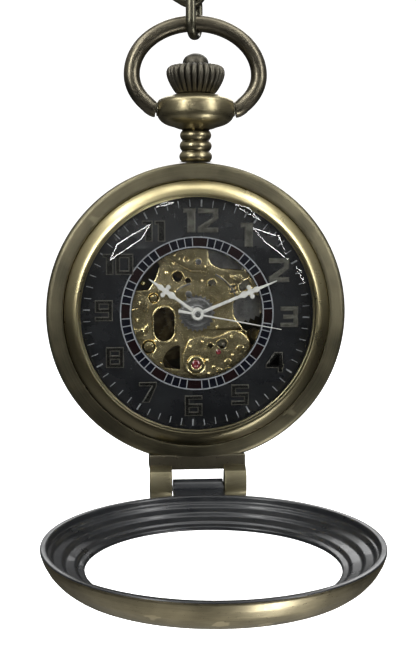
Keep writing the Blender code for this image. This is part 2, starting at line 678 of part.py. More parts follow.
def make_escapement():
    """Lever, balance and hairspring, with the bridge and the cock that hold them."""
    to_escape = direction(PALLET_AT, ESCAPE_AT)
    lever = direction(PALLET_AT, BALANCE_AT) - to_escape + 360
    shape = [(-78, 1.9), (-70, 1.9), (-30, 0.38), (30, 0.38), (70, 1.9), (78, 1.9)]
    shape += [(100, 0.5), (lever - 8, 2.2), (lever, 1.8), (lever + 8, 2.2), (260, 0.5)]
    arms = [polar(radius, to_escape + turn) for turn, radius in shape]
    fork = solid("pallet_fork", plate([arms], 2.75, 2.95), STEEL, spot(PALLET_AT), watch)
    arbor(fork, 0.2, 0.1, 3.5)
    foot_at = (9.4, -3.6)
    bridge = plate([capsule(PALLET_AT, foot_at, 0.9), circle(0.35, PALLET_AT, 10)], 3.1, 3.4)
    bridge = solid("pallet_bridge", bridge, GOLD, (0, 0, 0), watch)
    combine(bridge, "UNION", "pallet_foot", rod(0.8, FOOT_Y, 3.2, 12), spot(foot_at))

    rim = [circle(4.4, steps=36)] + crossings(2, 0.9, 3.9, 0.8)
    balance = solid("balance_wheel", plate(rim, 3.7, 4.1), GOLD, spot(BALANCE_AT), watch)
    staff = [(0, 0.1), (0.2, 0.1), (0.2, 2.9), (0.75, 3.0), (0.75, 3.2), (0.3, 3.3)]
    staff += [(0.3, 4.3), (0.2, 4.3), (0.2, 5.1), (0, 5.1)]
    combine(balance, "UNION", "balance_staff", turned(staff, 12))
    coil = plate([spiral(0.6, 2.6, 3, 0.14, 30)], 4.35, 4.55)
    solid("hairspring", coil, STEEL, spot(BALANCE_AT), watch)

    outward = direction(CENTRE, BALANCE_AT)
    outline = capsule(BALANCE_AT, polar(16.1, outward), 1.2)
    cock = plate([outline, circle(0.35, BALANCE_AT, 10)], 4.75, 5.2)
    cock = solid("balance_cock", cock, GOLD, (0, 0, 0), watch)
    foot = arc(17.3, outward - 9, outward + 9, 4) + arc(15.95, outward + 9, outward - 9, 4)
    combine(cock, "UNION", "cock_foot", plate([foot], FOOT_Y, 5.0))


def make_keyless_works():
    """The crown winds the ratchet wheel through the winding pinion and the crown wheel."""
    profile = [
        (0, 36.2), (0.6, 36.2), (0.6, CROWN_Z), (2.9, CROWN_Z), (3.5, 34.3, 1), (4.2, 35.3, 1),
        (CROWN_R, 36.2, 1), (4.4, 37.0, 1), (3.8, 37.65, 1), (2.6, 37.8), (1.95, 37.9),
        (1.75, 38.8), (1.0, 39.4), (0, 39.55),
    ]
    solid("crown", turned(profile, 36, 0.08), ANTIQUE, (0, 0, 0), stem_axis, "Z")
    solid("winding_stem", rod(STEM_R, 11.0, 36.0, 10), STEEL, (0, 0, 0), stem_axis, "Z")
    edge = gear(12, 1.9 * 2 / 13.4)
    shape = plate([edge, circle(0.6, steps=10)], 11.3, 12.4)
    solid("winding_pinion", shape, STEEL, (0, 0, 0), stem_axis, "Z")
    shape = tube(0.6, 1.25, 12.5, 14.2, 16)
    solid("sliding_pinion", shape, STEEL, (0, 0, 0), stem_axis, "Z")

    module = mesh_module(CROWN_WHEEL_TEETH, RATCHET_TEETH, CROWN_WHEEL_AT, BARREL_AT)
    towards = direction(CROWN_WHEEL_AT, BARREL_AT)
    shape = plate([gear(CROWN_WHEEL_TEETH, module, towards), circle(0.7, steps=12)], 3.1, 3.5)
    solid("crown_wheel", shape, STEEL, spot(CROWN_WHEEL_AT), watch)
    edge = gear(RATCHET_TEETH, module, towards + 180, True)
    shape = plate([edge, circle(0.62, steps=12)], 3.1, 3.5)
    solid("ratchet_wheel", shape, STEEL, spot(BARREL_AT), watch)
    core = [(0, 2.98), (0.5, 2.98), (0.5, 4.58), (1.1, 4.58), (1.1, 4.9), (0, 4.9)]
    solid("crown_wheel_screw", turned(core, 12), STEEL, spot(CROWN_WHEEL_AT), watch)

    reach = direction(CLICK_AT, BARREL_AT)
    tip = polar(1.35, reach)
    pawl = plate([capsule((0, 0), tip, 0.32, 4)], 3.1, 3.4)
    solid("click", pawl, STEEL, spot(CLICK_AT), watch)

    tip = (-2.45, 0.9)
    lever = plate([capsule((0, 0), tip, 0.35, 4)], 1.1, 1.4)
    lever = solid("setting_lever", lever, STEEL, spot(SETTING_AT), watch)
    arbor(lever, 0.3, 0.1, 1.4)


def make_screws():
    """Slotted screws, all from one mesh."""
    shape = turned([(0, 0), (0.8, 0), (0.85, 0.1), (0.85, 0.4), (0, 0.4)], 14)
    pattern = solid("barrel_bridge_screw_1", shape, STEEL, (0, 0, 0), watch)
    combine(pattern, "DIFFERENCE", "screw_slot", box((-1, -0.12, 0.22), (1, 0.12, 0.6)))
    graph = bpy.context.evaluated_depsgraph_get()
    mesh = bpy.data.meshes.new_from_object(pattern.evaluated_get(graph))
    pattern.modifiers.clear()
    pattern.data = mesh
    back = BRIDGE_Y[1] + 0.04
    pattern.location = [MM * value for value in spot(polar(16.2, 25), back)]
    places = {
        "barrel_bridge_screw_2": (polar(16.2, 62), back),
        "train_bridge_screw_1": (polar(15.9, 172), back),
        "train_bridge_screw_2": (polar(15.9, 204), back),
    }
    for name, (plan, y) in places.items():
        screw = bpy.data.objects.new(name, mesh)
        screw.location = [MM * value for value in spot(plan, y)]
        screw.parent = watch
        bpy.context.scene.collection.objects.link(screw)


def make_jewel():
    """A ruby bearing in its setting, on the front of the plate."""
    at = (-0.08, -8.0)
    setting = tube(0.72, 1.3, -0.3, -0.05, 20)
    solid("jewel_setting", setting, BRASS, spot(at), watch)
    gem = turned([(0, -0.32), (0.35, -0.3), (0.66, -0.18), (0.66, -0.05), (0, -0.05)], 16)
    solid("ruby_jewel", gem, RUBY, spot(at), watch)


make_chain()
make_bow()
make_case()
make_pendant()
make_cover(make_hinge())
make_dial()
make_plate()
make_train()
make_motion_works()
make_bridges()
make_escapement()
make_keyless_works()
make_screws()
make_jewel()
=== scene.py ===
"""The pocket watch's looks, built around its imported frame.

Lengths are in millimetres about the centre of the case, on the front of the main plate, with the
dial facing -Y and +Z up, and each mesh is scaled to metres when it is made.
"""

from math import cos, pi, radians, sin

import bmesh
import bpy
from mathutils import Matrix, Vector


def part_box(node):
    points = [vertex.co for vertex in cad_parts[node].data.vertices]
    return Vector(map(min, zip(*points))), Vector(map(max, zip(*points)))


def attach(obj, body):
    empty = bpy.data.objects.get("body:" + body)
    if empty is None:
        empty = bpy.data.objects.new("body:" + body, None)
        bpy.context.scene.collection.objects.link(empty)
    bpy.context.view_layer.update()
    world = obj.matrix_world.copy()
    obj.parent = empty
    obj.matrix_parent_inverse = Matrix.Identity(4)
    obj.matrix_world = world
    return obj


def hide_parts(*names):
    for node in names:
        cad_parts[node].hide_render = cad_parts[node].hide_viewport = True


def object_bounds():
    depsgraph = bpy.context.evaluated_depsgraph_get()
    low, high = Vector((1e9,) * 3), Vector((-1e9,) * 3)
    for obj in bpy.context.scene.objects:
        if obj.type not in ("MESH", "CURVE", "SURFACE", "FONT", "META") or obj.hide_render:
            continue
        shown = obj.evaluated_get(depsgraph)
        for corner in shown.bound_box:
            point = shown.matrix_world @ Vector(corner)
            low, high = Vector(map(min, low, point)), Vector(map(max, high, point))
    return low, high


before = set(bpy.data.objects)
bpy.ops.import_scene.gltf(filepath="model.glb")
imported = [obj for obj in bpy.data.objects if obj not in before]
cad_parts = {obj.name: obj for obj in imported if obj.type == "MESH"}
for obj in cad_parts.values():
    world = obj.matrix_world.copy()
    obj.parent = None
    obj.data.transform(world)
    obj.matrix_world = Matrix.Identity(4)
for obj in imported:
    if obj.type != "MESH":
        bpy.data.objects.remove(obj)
cad_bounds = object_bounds()

MM = 0.001
BACK_LOW, BACK_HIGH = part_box("case_back")
CENTRE = (BACK_LOW + BACK_HIGH) / 2
CENTRE.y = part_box("main_plate")[0].y

# Sizes shared with the frame
CASE_R = (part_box("case_band")[1].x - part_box("case_band")[0].x) / 2 / MM
STEM_Y = 1.1
BALL_Z = 31.1
BALL_AT = (0, STEM_Y, BALL_Z)
HINGE_Y = -2.7
HINGE_Z = -26.9
PIN_HOLE_R = 0.56
COVER_OPEN = radians(91.3)
DIAL_Y = -1.6
DIAL_WINDOW_R = 10.0
LIP_HALF_W = 7.45
LUG_INNER_X = 4.0
JEWEL_X = -0.08
JEWEL_Z = -8.0

# Sizes of the looks alone
WIRE_FIT = 0.98  # a chain wire's share of the frame's, so that it stays inside
DIAL_TURN = 2.3  # the dial sits this many degrees clockwise
PAINT_BACK = DIAL_Y - 0.002
PAINT_FRONT = DIAL_Y - 0.035
SPRING_Y = -0.2


def place(x, y, z):
    """A place in the watch, in millimetres, as a place in the frame."""
    return CENTRE + MM * Vector((x, y, z))


def local(node):
    """A node's lowest and highest corners, in the watch's millimetres."""
    low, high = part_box(node)
    return (low - CENTRE) / MM, (high - CENTRE) / MM


# ------------------------------------------------------------------------------------------
# Camera, lights and stage
# ------------------------------------------------------------------------------------------


def add_object(name, data):
    thing = bpy.data.objects.new(name, data)
    bpy.context.scene.collection.objects.link(thing)
    return thing


def make_camera():
    data = bpy.data.cameras.new("camera")
    data.lens = 64.0
    data.clip_start = 0.01
    data.clip_end = 20
    camera = add_object("camera", data)
    bpy.context.scene.camera = camera
    pitch, yaw = 0.0987, 0.0854
    ahead = Vector((sin(yaw) * cos(pitch), cos(yaw) * cos(pitch), -sin(pitch)))
    camera.location = place(-13.34, -176.9, 15.82)
    camera.rotation_mode = "QUATERNION"
    camera.rotation_quaternion = ahead.to_track_quat("-Z", "Y")


def outward(azimuth, elevation):
    """The way out from the case, with azimuth 0 in front of the dial and +90 on its right."""
    turn, lift = radians(azimuth), radians(elevation)
    return Vector((sin(turn) * cos(lift), -cos(turn) * cos(lift), sin(lift)))


def softbox(name, azimuth, elevation, away, wide, high, watts):
    """An area light aimed at the case, with its sizes in millimetres."""
    data = bpy.data.lights.new(name, "AREA")
    data.shape = "RECTANGLE"
    data.size = wide * MM
    data.size_y = high * MM
    data.energy = watts
    light = add_object(name, data)
    out = outward(azimuth, elevation)
    light.location = place(0, 0, 0) + out * away * MM
    light.rotation_mode = "QUATERNION"
    light.rotation_quaternion = (-out).to_track_quat("-Z", "Y")


def make_lights():
    softbox("light_left", -40, 24, 420, 80, 290, 0.95)
    softbox("light_right", 44, 21, 420, 80, 300, 0.85)
    softbox("light_upper_left", -70, 55, 420, 170, 100, 0.42)
    softbox("light_upper_right", 64, 55, 420, 170, 100, 0.38)
    softbox("light_top", 0, 80, 450, 360, 160, 0.5)
    softbox("light_low_right", 40, -52, 420, 90, 160, 0.55)
    softbox("light_back", 170, 35, 500, 400, 300, 1.4)


def as_object(name, shape, materials=()):
    """A shape as an object in the scene."""
    mesh = bpy.data.meshes.new(name)
    shape.to_mesh(mesh)
    shape.free()
    for material in materials:
        mesh.materials.append(material)
    return add_object(name, mesh)


def glowing(name, shade, strength):
    material = bpy.data.materials.new(name)
    material.use_nodes = True
    shader = material.node_tree.nodes["Principled BSDF"]
    shader.inputs["Base Color"].default_value = (shade, shade, shade, 1)
    shader.inputs["Emission Strength"].default_value = strength
    return material


def lamp_frame(name, corners, half_wide):
    """The bright edge of a lamp that the crystal mirrors.

    Its corners are azimuths and elevations in degrees, as the watch sees them.
    """
    away, half_deep, strength = 600, 0.5, 26
    points = [outward(*corner) * away for corner in corners]
    facing = sum(points, Vector()).normalized()
    shape = swept(points, facing, half_wide, half_deep, 4)
    bmesh.ops.scale(shape, vec=(MM, MM, MM), verts=shape.verts)
    thing = as_object(name, shape, [glowing(name, 0, strength)])
    thing.location = place(0, 0, 0)
    thing.visible_camera = False
    thing.visible_diffuse = False
    thing.visible_shadow = False


def make_lamp_frames():
    lamp_frame("lamp_frame_left", [(-16.1, 7.6), (-14.6, 11.2), (-6.9, 16.0), (-9.0, 12.6)], 2.0)
    lamp_frame("lamp_frame_right", [(17.5, 14.7), (23.5, 12.5), (25.4, 7.2), (20.0, 11.6)], 2.0)
    lamp_frame("lamp_strip_right", [(13.4, 20.0), (16.6, 18.9), (19.6, 16.1), (17.2, 17.6)], 1.0)
    lamp_frame("lamp_strip_left", [(-5.7, 19.7), (-3.7, 20.5), (-1.3, 20.8), (-3.4, 20.2)], 1.0)
    lamp_frame("lamp_strip_edge", [(26.9, 6.0), (28.4, 4.5), (29.2, 1.7), (27.9, 4.0)], 1.0)


def make_world():
    """A soft studio: bright above, grey around, dark in front and low, and a pale floor."""
    world = bpy.data.worlds.new("studio")
    world.use_nodes = True
    bpy.context.scene.world = world
    tree = world.node_tree
    sky = tree.nodes["Background"]
    where = tree.nodes.new("ShaderNodeTexCoord")
    split = tree.nodes.new("ShaderNodeSeparateXYZ")
    spread = tree.nodes.new("ShaderNodeMapRange")
    spread.inputs["From Min"].default_value = -1
    ramp = tree.nodes.new("ShaderNodeValToRGB")
    stops = ramp.color_ramp.elements
    stops[0].position, stops[0].color = 0.0, (0.44, 0.43, 0.41, 1)
    stops[1].position, stops[1].color = 0.92, (0.40, 0.40, 0.39, 1)
    for height, shade in ((0.12, 0.30), (0.24, 0.04), (0.42, 0.03), (0.54, 0.18)):
        stops.new(height).color = (shade, shade, shade, 1)
    tree.links.new(where.outputs["Generated"], split.inputs[0])
    tree.links.new(split.outputs["Z"], spread.inputs["Value"])
    tree.links.new(spread.outputs[0], ramp.inputs[0])
    tree.links.new(ramp.outputs[0], sky.inputs["Color"])


def make_stage():
    """A pale floor and a round backdrop, both plain white and out of the metal's reflections."""
    # The room's outline is in metres, as radii and heights above the floor
    room = [(0, 0), (3.0, 0), (3.2, 0.1), (3.3, 0.4), (3.3, 3.0), (2.0, 4.5), (0.5, 5.0), (0, 5.0)]
    floor_gap = 0.03
    stage = as_object("floor_and_backdrop", turned(room, 64), [glowing("stage_white", 0.9, 1.0)])
    stage.location.z = cad_bounds[0].z - floor_gap
    stage.visible_glossy = False
    stage.visible_diffuse = False
    stage.visible_shadow = False


# ------------------------------------------------------------------------------------------
# Materials
# ------------------------------------------------------------------------------------------


class Paint:
    """A material's nodes, with the watch's millimetres as the texture space."""

    def __init__(self, name):
        self.material = bpy.data.materials.new(name)
        self.material.use_nodes = True
        self.tree = self.material.node_tree
        self.shader = self.tree.nodes["Principled BSDF"]
        where = self.add("TexCoord").outputs["Object"]
        self.where = self.maths("MULTIPLY", where, (1 / MM, 1 / MM, 1 / MM), True)

    def add(self, kind, inputs=(), **settings):
        made = self.tree.nodes.new(f"ShaderNode{kind}")
        for key, value in settings.items():
            setattr(made, key, value)
        for key, value in dict(inputs).items():
            self.put(made.inputs[key], value)
        return made

    def put(self, socket, value):
        if isinstance(value, bpy.types.NodeSocket):
            self.tree.links.new(value, socket)
        else:
            socket.default_value = value

    def maths(self, operation, first, second, vector=False):
        kind = "VectorMath" if vector else "Math"
        return self.add(kind, {0: first, 1: second}, operation=operation).outputs[0]

    def noise(self, scale, detail=4.0, stretch=(1, 1, 1), where=None):
        spread = self.maths("MULTIPLY", where or self.where, stretch, True)
        inputs = {"Scale": scale, "Detail": detail, "Vector": spread}
        return self.add("TexNoise", inputs).outputs["Fac"]

    def spread(self, value, low=0.3, high=0.7, to_low=0.0, to_high=1.0):
        inputs = {"Value": value, "From Min": low, "From Max": high}
        inputs.update({"To Min": to_low, "To Max": to_high})
        return self.add("MapRange", inputs).outputs[0]

    def mix(self, share, first, second):
        made = self.add("Mix", {"Factor": share}, data_type="RGBA")
        for socket, colour in ((made.inputs[6], first), (made.inputs[7], second)):
            self.put(socket, colour if isinstance(colour, bpy.types.NodeSocket) else (*colour, 1))
        return made.outputs[2]

    def edges(self):
        """1 on raised edges, 0.5 on plain surfaces and 0 in hollows."""
        return self.spread(self.add("NewGeometry").outputs["Pointiness"], 0.44, 0.56)

    def split(self):
        """A point's own X, Y and Z in the watch."""
        return self.add("SeparateXYZ", {0: self.where}).outputs

    def round_ways(self):
        """Distance from the case's axis and the turn about it, for marks that run round it."""
        at = self.split()
        turn = self.maths("ARCTAN2", at["X"], at["Z"])
        flat = self.add("CombineXYZ", {"X": at["X"], "Y": at["Z"]}).outputs[0]
        reach = self.add("VectorMath", {0: flat}, operation="LENGTH").outputs["Value"]
        return self.add("CombineXYZ", {"X": reach, "Y": turn, "Z": at["Y"]}).outputs[0]

    def bump(self, height, strength, distance=0.02):
        inputs = {"Strength": strength, "Distance": distance * MM, "Height": height}
        self.put(self.shader.inputs["Normal"], self.add("Bump", inputs).outputs[0])

    def finish(self, colour, roughness, metallic=0.0, **more):
        main = {"Base_Color": colour, "Roughness": roughness, "Metallic": metallic}
        for key, value in {**main, **more}.items():
            self.put(self.shader.inputs[key.replace("_", " ")], value)
        return self.material


def antique_bronze(name, dark, bright, rougher=0.0, brushed_round=False):
    """Dark patina over brass, rubbed bright on the edges, with fine brush lines."""
    paint = Paint(f"antique_bronze_{name}")
    if brushed_round:
        lines = paint.noise(1.0, 3.0, (16, 1.2, 16), paint.round_ways())
    else:
        lines = paint.noise(1.0, 3.0, (0.5, 0.5, 18))
    patches = paint.noise(0.16, 5.0)
    grain = paint.noise(3.0, 6.0)
    worn = paint.spread(patches, 0.36, 0.66, 0.18, 0.62)
    worn = paint.maths("ADD", worn, paint.spread(lines, 0.3, 0.7, -0.12, 0.12))
    worn = paint.maths("ADD", worn, paint.spread(paint.edges(), 0.0, 1.0, -0.75, 0.75))
    worn = paint.spread(worn, 0.0, 1.0)
    colour = paint.mix(worn, dark, bright)
    fine = paint.spread(lines, 0.3, 0.7, rougher - 0.03, rougher + 0.05)
    roughness = paint.maths("ADD", paint.spread(grain, 0.3, 0.7, 0.27, 0.38), fine)
    paint.bump(lines, 0.25, 0.012)
    return paint.finish(colour, roughness, 1.0)


def polished_brass():
    """Polished brass with painted shade that darkens it towards the bottom, and patina in the
    corners.
    """
    paint = Paint("polished_brass")
    lines = paint.noise(1.0, 3.0, (22, 1.0, 22), paint.round_ways())
    haze = paint.noise(0.3, 5.0)
    hollow = paint.spread(paint.edges(), 0.1, 0.45)
    base = paint.mix(paint.spread(haze, 0.35, 0.7), (0.52, 0.455, 0.255), (0.40, 0.345, 0.19))
    # Painted shade: the brass is mixed to a dark colour towards the bottom of the watch, where
    # less light falls.
    base = paint.mix(paint.spread(paint.split()["Z"], -15.0, 11.0), (0.15, 0.132, 0.08), base)
    colour = paint.mix(hollow, (0.07, 0.06, 0.04), base)
    roughness = paint.spread(haze, 0.3, 0.7, 0.26, 0.36)
    paint.bump(lines, 0.15, 0.008)
    return paint.finish(colour, roughness, 1.0)


def black_lacquer():
    """Glossy black on the inside of the cover, with a faint orange peel."""
    paint = Paint("black_lacquer")
    cloud = paint.noise(0.35, 4.0)
    orange_peel = paint.noise(1.6, 2.0)
    colour = paint.mix(paint.spread(cloud), (0.007, 0.008, 0.010), (0.014, 0.015, 0.017))
    paint.bump(orange_peel, 0.10, 0.02)
    return paint.finish(colour, paint.spread(cloud, 0.3, 0.7, 0.26, 0.40), 0.0, Coat_Weight=0.15)


def dial_black():
    paint = Paint("dial_black")
    cloud = paint.noise(0.25, 4.0)
    dust = paint.noise(12.0, 3.0)
    base = paint.mix(paint.spread(cloud), (0.006, 0.0065, 0.008), (0.012, 0.013, 0.015))
    colour = paint.mix(paint.spread(dust, 0.68, 0.76, 0.0, 0.2), base, (0.06, 0.06, 0.065))
    paint.bump(dust, 0.1, 0.006)
    return paint.finish(colour, paint.spread(cloud, 0.3, 0.7, 0.22, 0.32), 0.0)


def printed(name, colour, faded, shine=0.4):
    """Paint printed on the dial, a little uneven."""
    paint = Paint(name)
    uneven = paint.noise(4.0, 4.0)
    shade = paint.mix(paint.spread(uneven, 0.35, 0.65), colour, faded)
    paint.bump(uneven, 0.2, 0.01)
    return paint.finish(
        shade, paint.spread(uneven, 0.3, 0.7, 0.35, 0.5), Specular_IOR_Level=shine
    )


def gilt(name, base, deep, rough, spotted=0.0):
    """Gilding with a fine grain, and with rings of engine turning where it is spotted."""
    paint = Paint(name)
    grain = paint.noise(14.0, 3.0)
    cells = paint.add("TexVoronoi", {"Scale": 1.1, "Vector": paint.where}).outputs["Distance"]
    ripple = paint.maths("MULTIPLY", cells, 0.7 * spotted)
    height = paint.maths("SUBTRACT", grain, ripple)
    colour = paint.mix(paint.spread(paint.noise(0.9, 5.0), 0.35, 0.65), base, deep)
    colour = paint.mix(paint.spread(paint.edges(), 0.05, 0.45), (0.08, 0.055, 0.025), colour)
    paint.bump(height, 0.5, 0.03)
    return paint.finish(colour, paint.spread(grain, 0.3, 0.7, *rough), 1.0)


def satin_steel():
    paint = Paint("movement_steel")
    lines = paint.noise(1.0, 3.0, (1.5, 1.5, 26))
    cloud = paint.noise(0.6, 4.0)
    colour = paint.mix(paint.spread(cloud, 0.35, 0.7), (0.42, 0.42, 0.42), (0.22, 0.22, 0.22))
    paint.bump(lines, 0.2, 0.01)
    return paint.finish(colour, paint.spread(lines, 0.3, 0.7, 0.24, 0.4), 1.0)


def white_enamel():
    paint = Paint("white_hands")
    cloud = paint.noise(1.2, 4.0)
    fine = paint.noise(6.0, 3.0)
    edge = paint.spread(paint.edges(), 0.05, 0.4)
    base = paint.mix(paint.spread(cloud, 0.35, 0.65), (0.62, 0.615, 0.585), (0.52, 0.515, 0.49))
    colour = paint.mix(edge, (0.45, 0.44, 0.41), base)
    paint.bump(fine, 0.15, 0.01)
    return paint.finish(colour, paint.spread(fine, 0.3, 0.7, 0.28, 0.42))


def crystal_glass():
    """Clear glass: what is behind it shows, and its surface mirrors the room by Fresnel."""
    paint = Paint("crystal_glass")
    smear = paint.noise(0.25, 3.0)
    clear = paint.add("BsdfTransparent", {"Color": (0.985, 0.99, 0.985, 1)}).outputs[0]
    shine = paint.spread(smear, 0.3, 0.7, 0.0, 0.012)
    mirror = paint.add("BsdfGlossy", {"Roughness": shine}).outputs[0]
    fresnel = paint.add("Fresnel", {"IOR": 1.5}).outputs[0]
    behind = paint.add("NewGeometry").outputs["Backfacing"]
    share = paint.maths("MULTIPLY", fresnel, paint.maths("SUBTRACT", 1.0, behind))
    mixed = paint.add("MixShader", {0: share, 1: clear, 2: mirror}).outputs[0]
    output = next(n for n in paint.tree.nodes if n.type == "OUTPUT_MATERIAL")
    paint.put(output.inputs["Surface"], mixed)
    paint.tree.nodes.remove(paint.shader)
    return paint.material


def ruby_red():
    paint = Paint("ruby")
    depth = paint.noise(1.5, 3.0)
    colour = paint.mix(paint.spread(depth, 0.35, 0.65), (0.24, 0.03, 0.035), (0.12, 0.012, 0.018))
    return paint.finish(
        colour, paint.spread(depth, 0.3, 0.7, 0.05, 0.12), 0.0, Coat_Weight=1.0, IOR=1.77
    )


BRONZE_ROUND = antique_bronze(
    "round", (0.046, 0.042, 0.030), (0.200, 0.179, 0.112), 0.08, brushed_round=True
)
BRONZE_LEVEL = antique_bronze("level", (0.10, 0.086, 0.052), (0.46, 0.40, 0.24))
BRONZE_BOW = antique_bronze("bow", (0.040, 0.036, 0.031), (0.20, 0.178, 0.125))
# The lid's bronze is lighter than the rest: partly its own tone, partly painted light from below
# on its outer face.
BRONZE_LID_WITH_PAINTED_LIGHT = antique_bronze("lid_with_painted_light", (0.17, 0.15, 0.095), (0.60, 0.52, 0.33))
BRONZE_CROWN = antique_bronze("crown", (0.030, 0.028, 0.024), (0.125, 0.115, 0.090), 0.16)
BRONZE_DARK = antique_bronze("dark", (0.030, 0.029, 0.023), (0.17, 0.16, 0.115))
BRASS = polished_brass()
LACQUER = black_lacquer()
DIAL_BLACK = dial_black()
LINE_WHITE = printed("chapter_white", (0.30, 0.31, 0.33), (0.22, 0.23, 0.25))
TICK_WHITE = printed("tick_white", (0.36, 0.37, 0.39), (0.22, 0.23, 0.25))
CELL_NAVY = printed("cell_navy", (0.001, 0.001, 0.004), (0.002, 0.003, 0.008), 0.1)
CELL_RED = printed("cell_red", (0.005, 0.0012, 0.0016), (0.008, 0.002, 0.0025), 0.1)
NUMERAL_FACE = gilt("numeral_face", (0.06, 0.06, 0.055), (0.035, 0.035, 0.033), (0.22, 0.32))
# Painted light: a lighter copy of the numeral face, given to 12, 1, 2 and 3 at the top right.
NUMERAL_PAINTED_LIGHT = gilt("numeral_painted_light", (0.19, 0.187, 0.16), (0.10, 0.098, 0.085), (0.34, 0.46))
NUMERAL_EDGE = printed("numeral_edge", (0.095, 0.09, 0.074), (0.055, 0.052, 0.045))
GILT = gilt("gilt_movement", (0.60, 0.51, 0.29), (0.42, 0.35, 0.19), (0.21, 0.33), 0.6)
# Painted shade: a darker copy of the gilt for the parts that lie in shadow behind the skeleton
# plate.
GILT_PAINTED_SHADE = gilt("gilt_painted_shade", (0.17, 0.14, 0.08), (0.09, 0.07, 0.04), (0.28, 0.40))
GILT_BRIGHT = gilt("gilt_polished", (0.95, 0.84, 0.50), (0.80, 0.66, 0.35), (0.08, 0.14))
STEEL = satin_steel()
ENAMEL = white_enamel()
GLASS = crystal_glass()
RUBY = ruby_red()


# ------------------------------------------------------------------------------------------
# Shapes
# ------------------------------------------------------------------------------------------

AIMS = {
    "X": Matrix(((0, 0, 1), (1, 0, 0), (0, 1, 0))).to_4x4(),
    "Y": Matrix(((1, 0, 0), (0, 0, 1), (0, 1, 0))).to_4x4(),
    "Z": Matrix.Identity(4),
}


def polar(radius, degrees, about=(0.0, 0.0)):
    turn = radians(degrees)
    return (about[0] + radius * cos(turn), about[1] + radius * sin(turn))


def clock(radius, degrees):
    """A place on the dial from a clock angle, with 0 at twelve."""
    return polar(radius, 90 - degrees)


def arc(radius, start, end, steps, about=(0.0, 0.0)):
    return [polar(radius, start + (end - start) * k / steps, about) for k in range(steps + 1)]


def circle(radius, about=(0.0, 0.0), steps=32):
    return arc(radius, 0, 360, steps, about)[:-1]


def rounded(points, radius, steps=3, closed=True):
    """The same outline with its corners rounded as far as their edges allow."""
    count = len(points)
    smooth = []
    for i, point in enumerate(points):
        here = Vector(point)
        if not closed and i in (0, count - 1):
            smooth.append(tuple(here))
            continue
        before, after = Vector(points[i - 1]), Vector(points[(i + 1) % count])
        reach = min(radius, (before - here).length * 0.45, (after - here).length * 0.45)
        start = here + (before - here).normalized() * reach
        end = here + (after - here).normalized() * reach
        for k in range(steps + 1):
            t = k / steps
            smooth.append(tuple((1 - t) ** 2 * start + 2 * t * (1 - t) * here + t * t * end))
    return smooth


def turned(profile, steps, ripple=None):
    """A turned shape from (radius, height) points.  Ripple scales a radius by turn and point."""
    shape = bmesh.new()
    rings = []
    for index, (radius, height) in enumerate(profile):
        if radius == 0:
            rings.append([shape.verts.new((0, 0, height))])
            continue
        ring = []
        for k in range(steps):
            turn = 2 * pi * k / steps
            reach, lift = ripple(turn, index, radius, height) if ripple else (radius, height)
            ring.append(shape.verts.new((reach * cos(turn), reach * sin(turn), lift)))
        rings.append(ring)
    pairs = list(zip(rings, rings[1:]))
    if all(len(ring) > 1 for ring in rings):
        pairs.append((rings[-1], rings[0]))
    for low, high in pairs:
        for k in range(steps):
            corners = (low[k % len(low)], low[(k + 1) % steps % len(low)])
            corners += (high[(k + 1) % steps % len(high)], high[k % len(high)])
            shape.faces.new(list(dict.fromkeys(corners)))
    return shape


def swept(path, normal, in_plane, across, sides=20, closed=True):
    """A round or oval wire along a flat path.  Its half-widths may be one number a point."""
    shape = bmesh.new()
    count = len(path)
    thick = in_plane if isinstance(in_plane, list) else [in_plane] * count
    wide = across if isinstance(across, list) else [across] * count
    rings = []
    for i, point in enumerate(path):
        before = path[i - 1] if closed or i else point
        after = path[(i + 1) % count] if closed or i + 1 < count else point
        side = (after - before).cross(normal).normalized()
        ring = []
        for k in range(sides):
            turn = 2 * pi * (k + 0.5) / sides
            offset = side * thick[i] * cos(turn) + normal * wide[i] * sin(turn)
            ring.append(shape.verts.new(point + offset))
        rings.append(ring)
    pairs = list(zip(rings, rings[1:]))
    if closed:
        pairs.append((rings[-1], rings[0]))
    else:
        shape.faces.new(rings[0])
        shape.faces.new(rings[-1])
    for low, high in pairs:
        for k in range(sides):
            following = (k + 1) % sides
            shape.faces.new((low[k], low[following], high[following], high[k]))
    return shape


def plate(outlines, low, high, bevel=0.0, steps=2, inset=0.0):
    """A flat plate with bevelled edges.  The first outline is its edge, the others are holes."""
    data = bpy.data.curves.new("plate_outline", "CURVE")
    data.dimensions = "2D"
    data.fill_mode = "BOTH"
    data.extrude = (high - low) / 2 - bevel
    data.bevel_depth = bevel
    data.bevel_resolution = steps
    data.offset = -bevel - inset
    for number, outline in enumerate(outlines):
        area = sum(a[0] * b[1] - b[0] * a[1] for a, b in zip(outline, outline[1:] + outline[:1]))
        if (area > 0) != (number == 0):
            outline = outline[::-1]
        line = data.splines.new("POLY")
        line.points.add(len(outline) - 1)
        for point, (a, b) in zip(line.points, outline):
            point.co = (a, b, 0, 1)
        line.use_cyclic_u = True
    thing = add_object("plate_outline", data)
    graph = bpy.context.evaluated_depsgraph_get()
    mesh = bpy.data.meshes.new_from_object(thing.evaluated_get(graph))
    shape = bmesh.new()
    shape.from_mesh(mesh)
    bmesh.ops.remove_doubles(shape, verts=shape.verts, dist=1e-5)
    bmesh.ops.translate(shape, vec=(0, 0, (low + high) / 2), verts=shape.verts)
    bpy.data.objects.remove(thing)
    bpy.data.curves.remove(data)
    bpy.data.meshes.remove(mesh)
    return shape


def joined(shapes):
    """Several shapes as one mesh."""
    whole = bmesh.new()
    for shape in shapes:
        mesh = bpy.data.meshes.new("joined")
        shape.to_mesh(mesh)
        shape.free()
        whole.from_mesh(mesh)
        bpy.data.meshes.remove(mesh)
    return whole


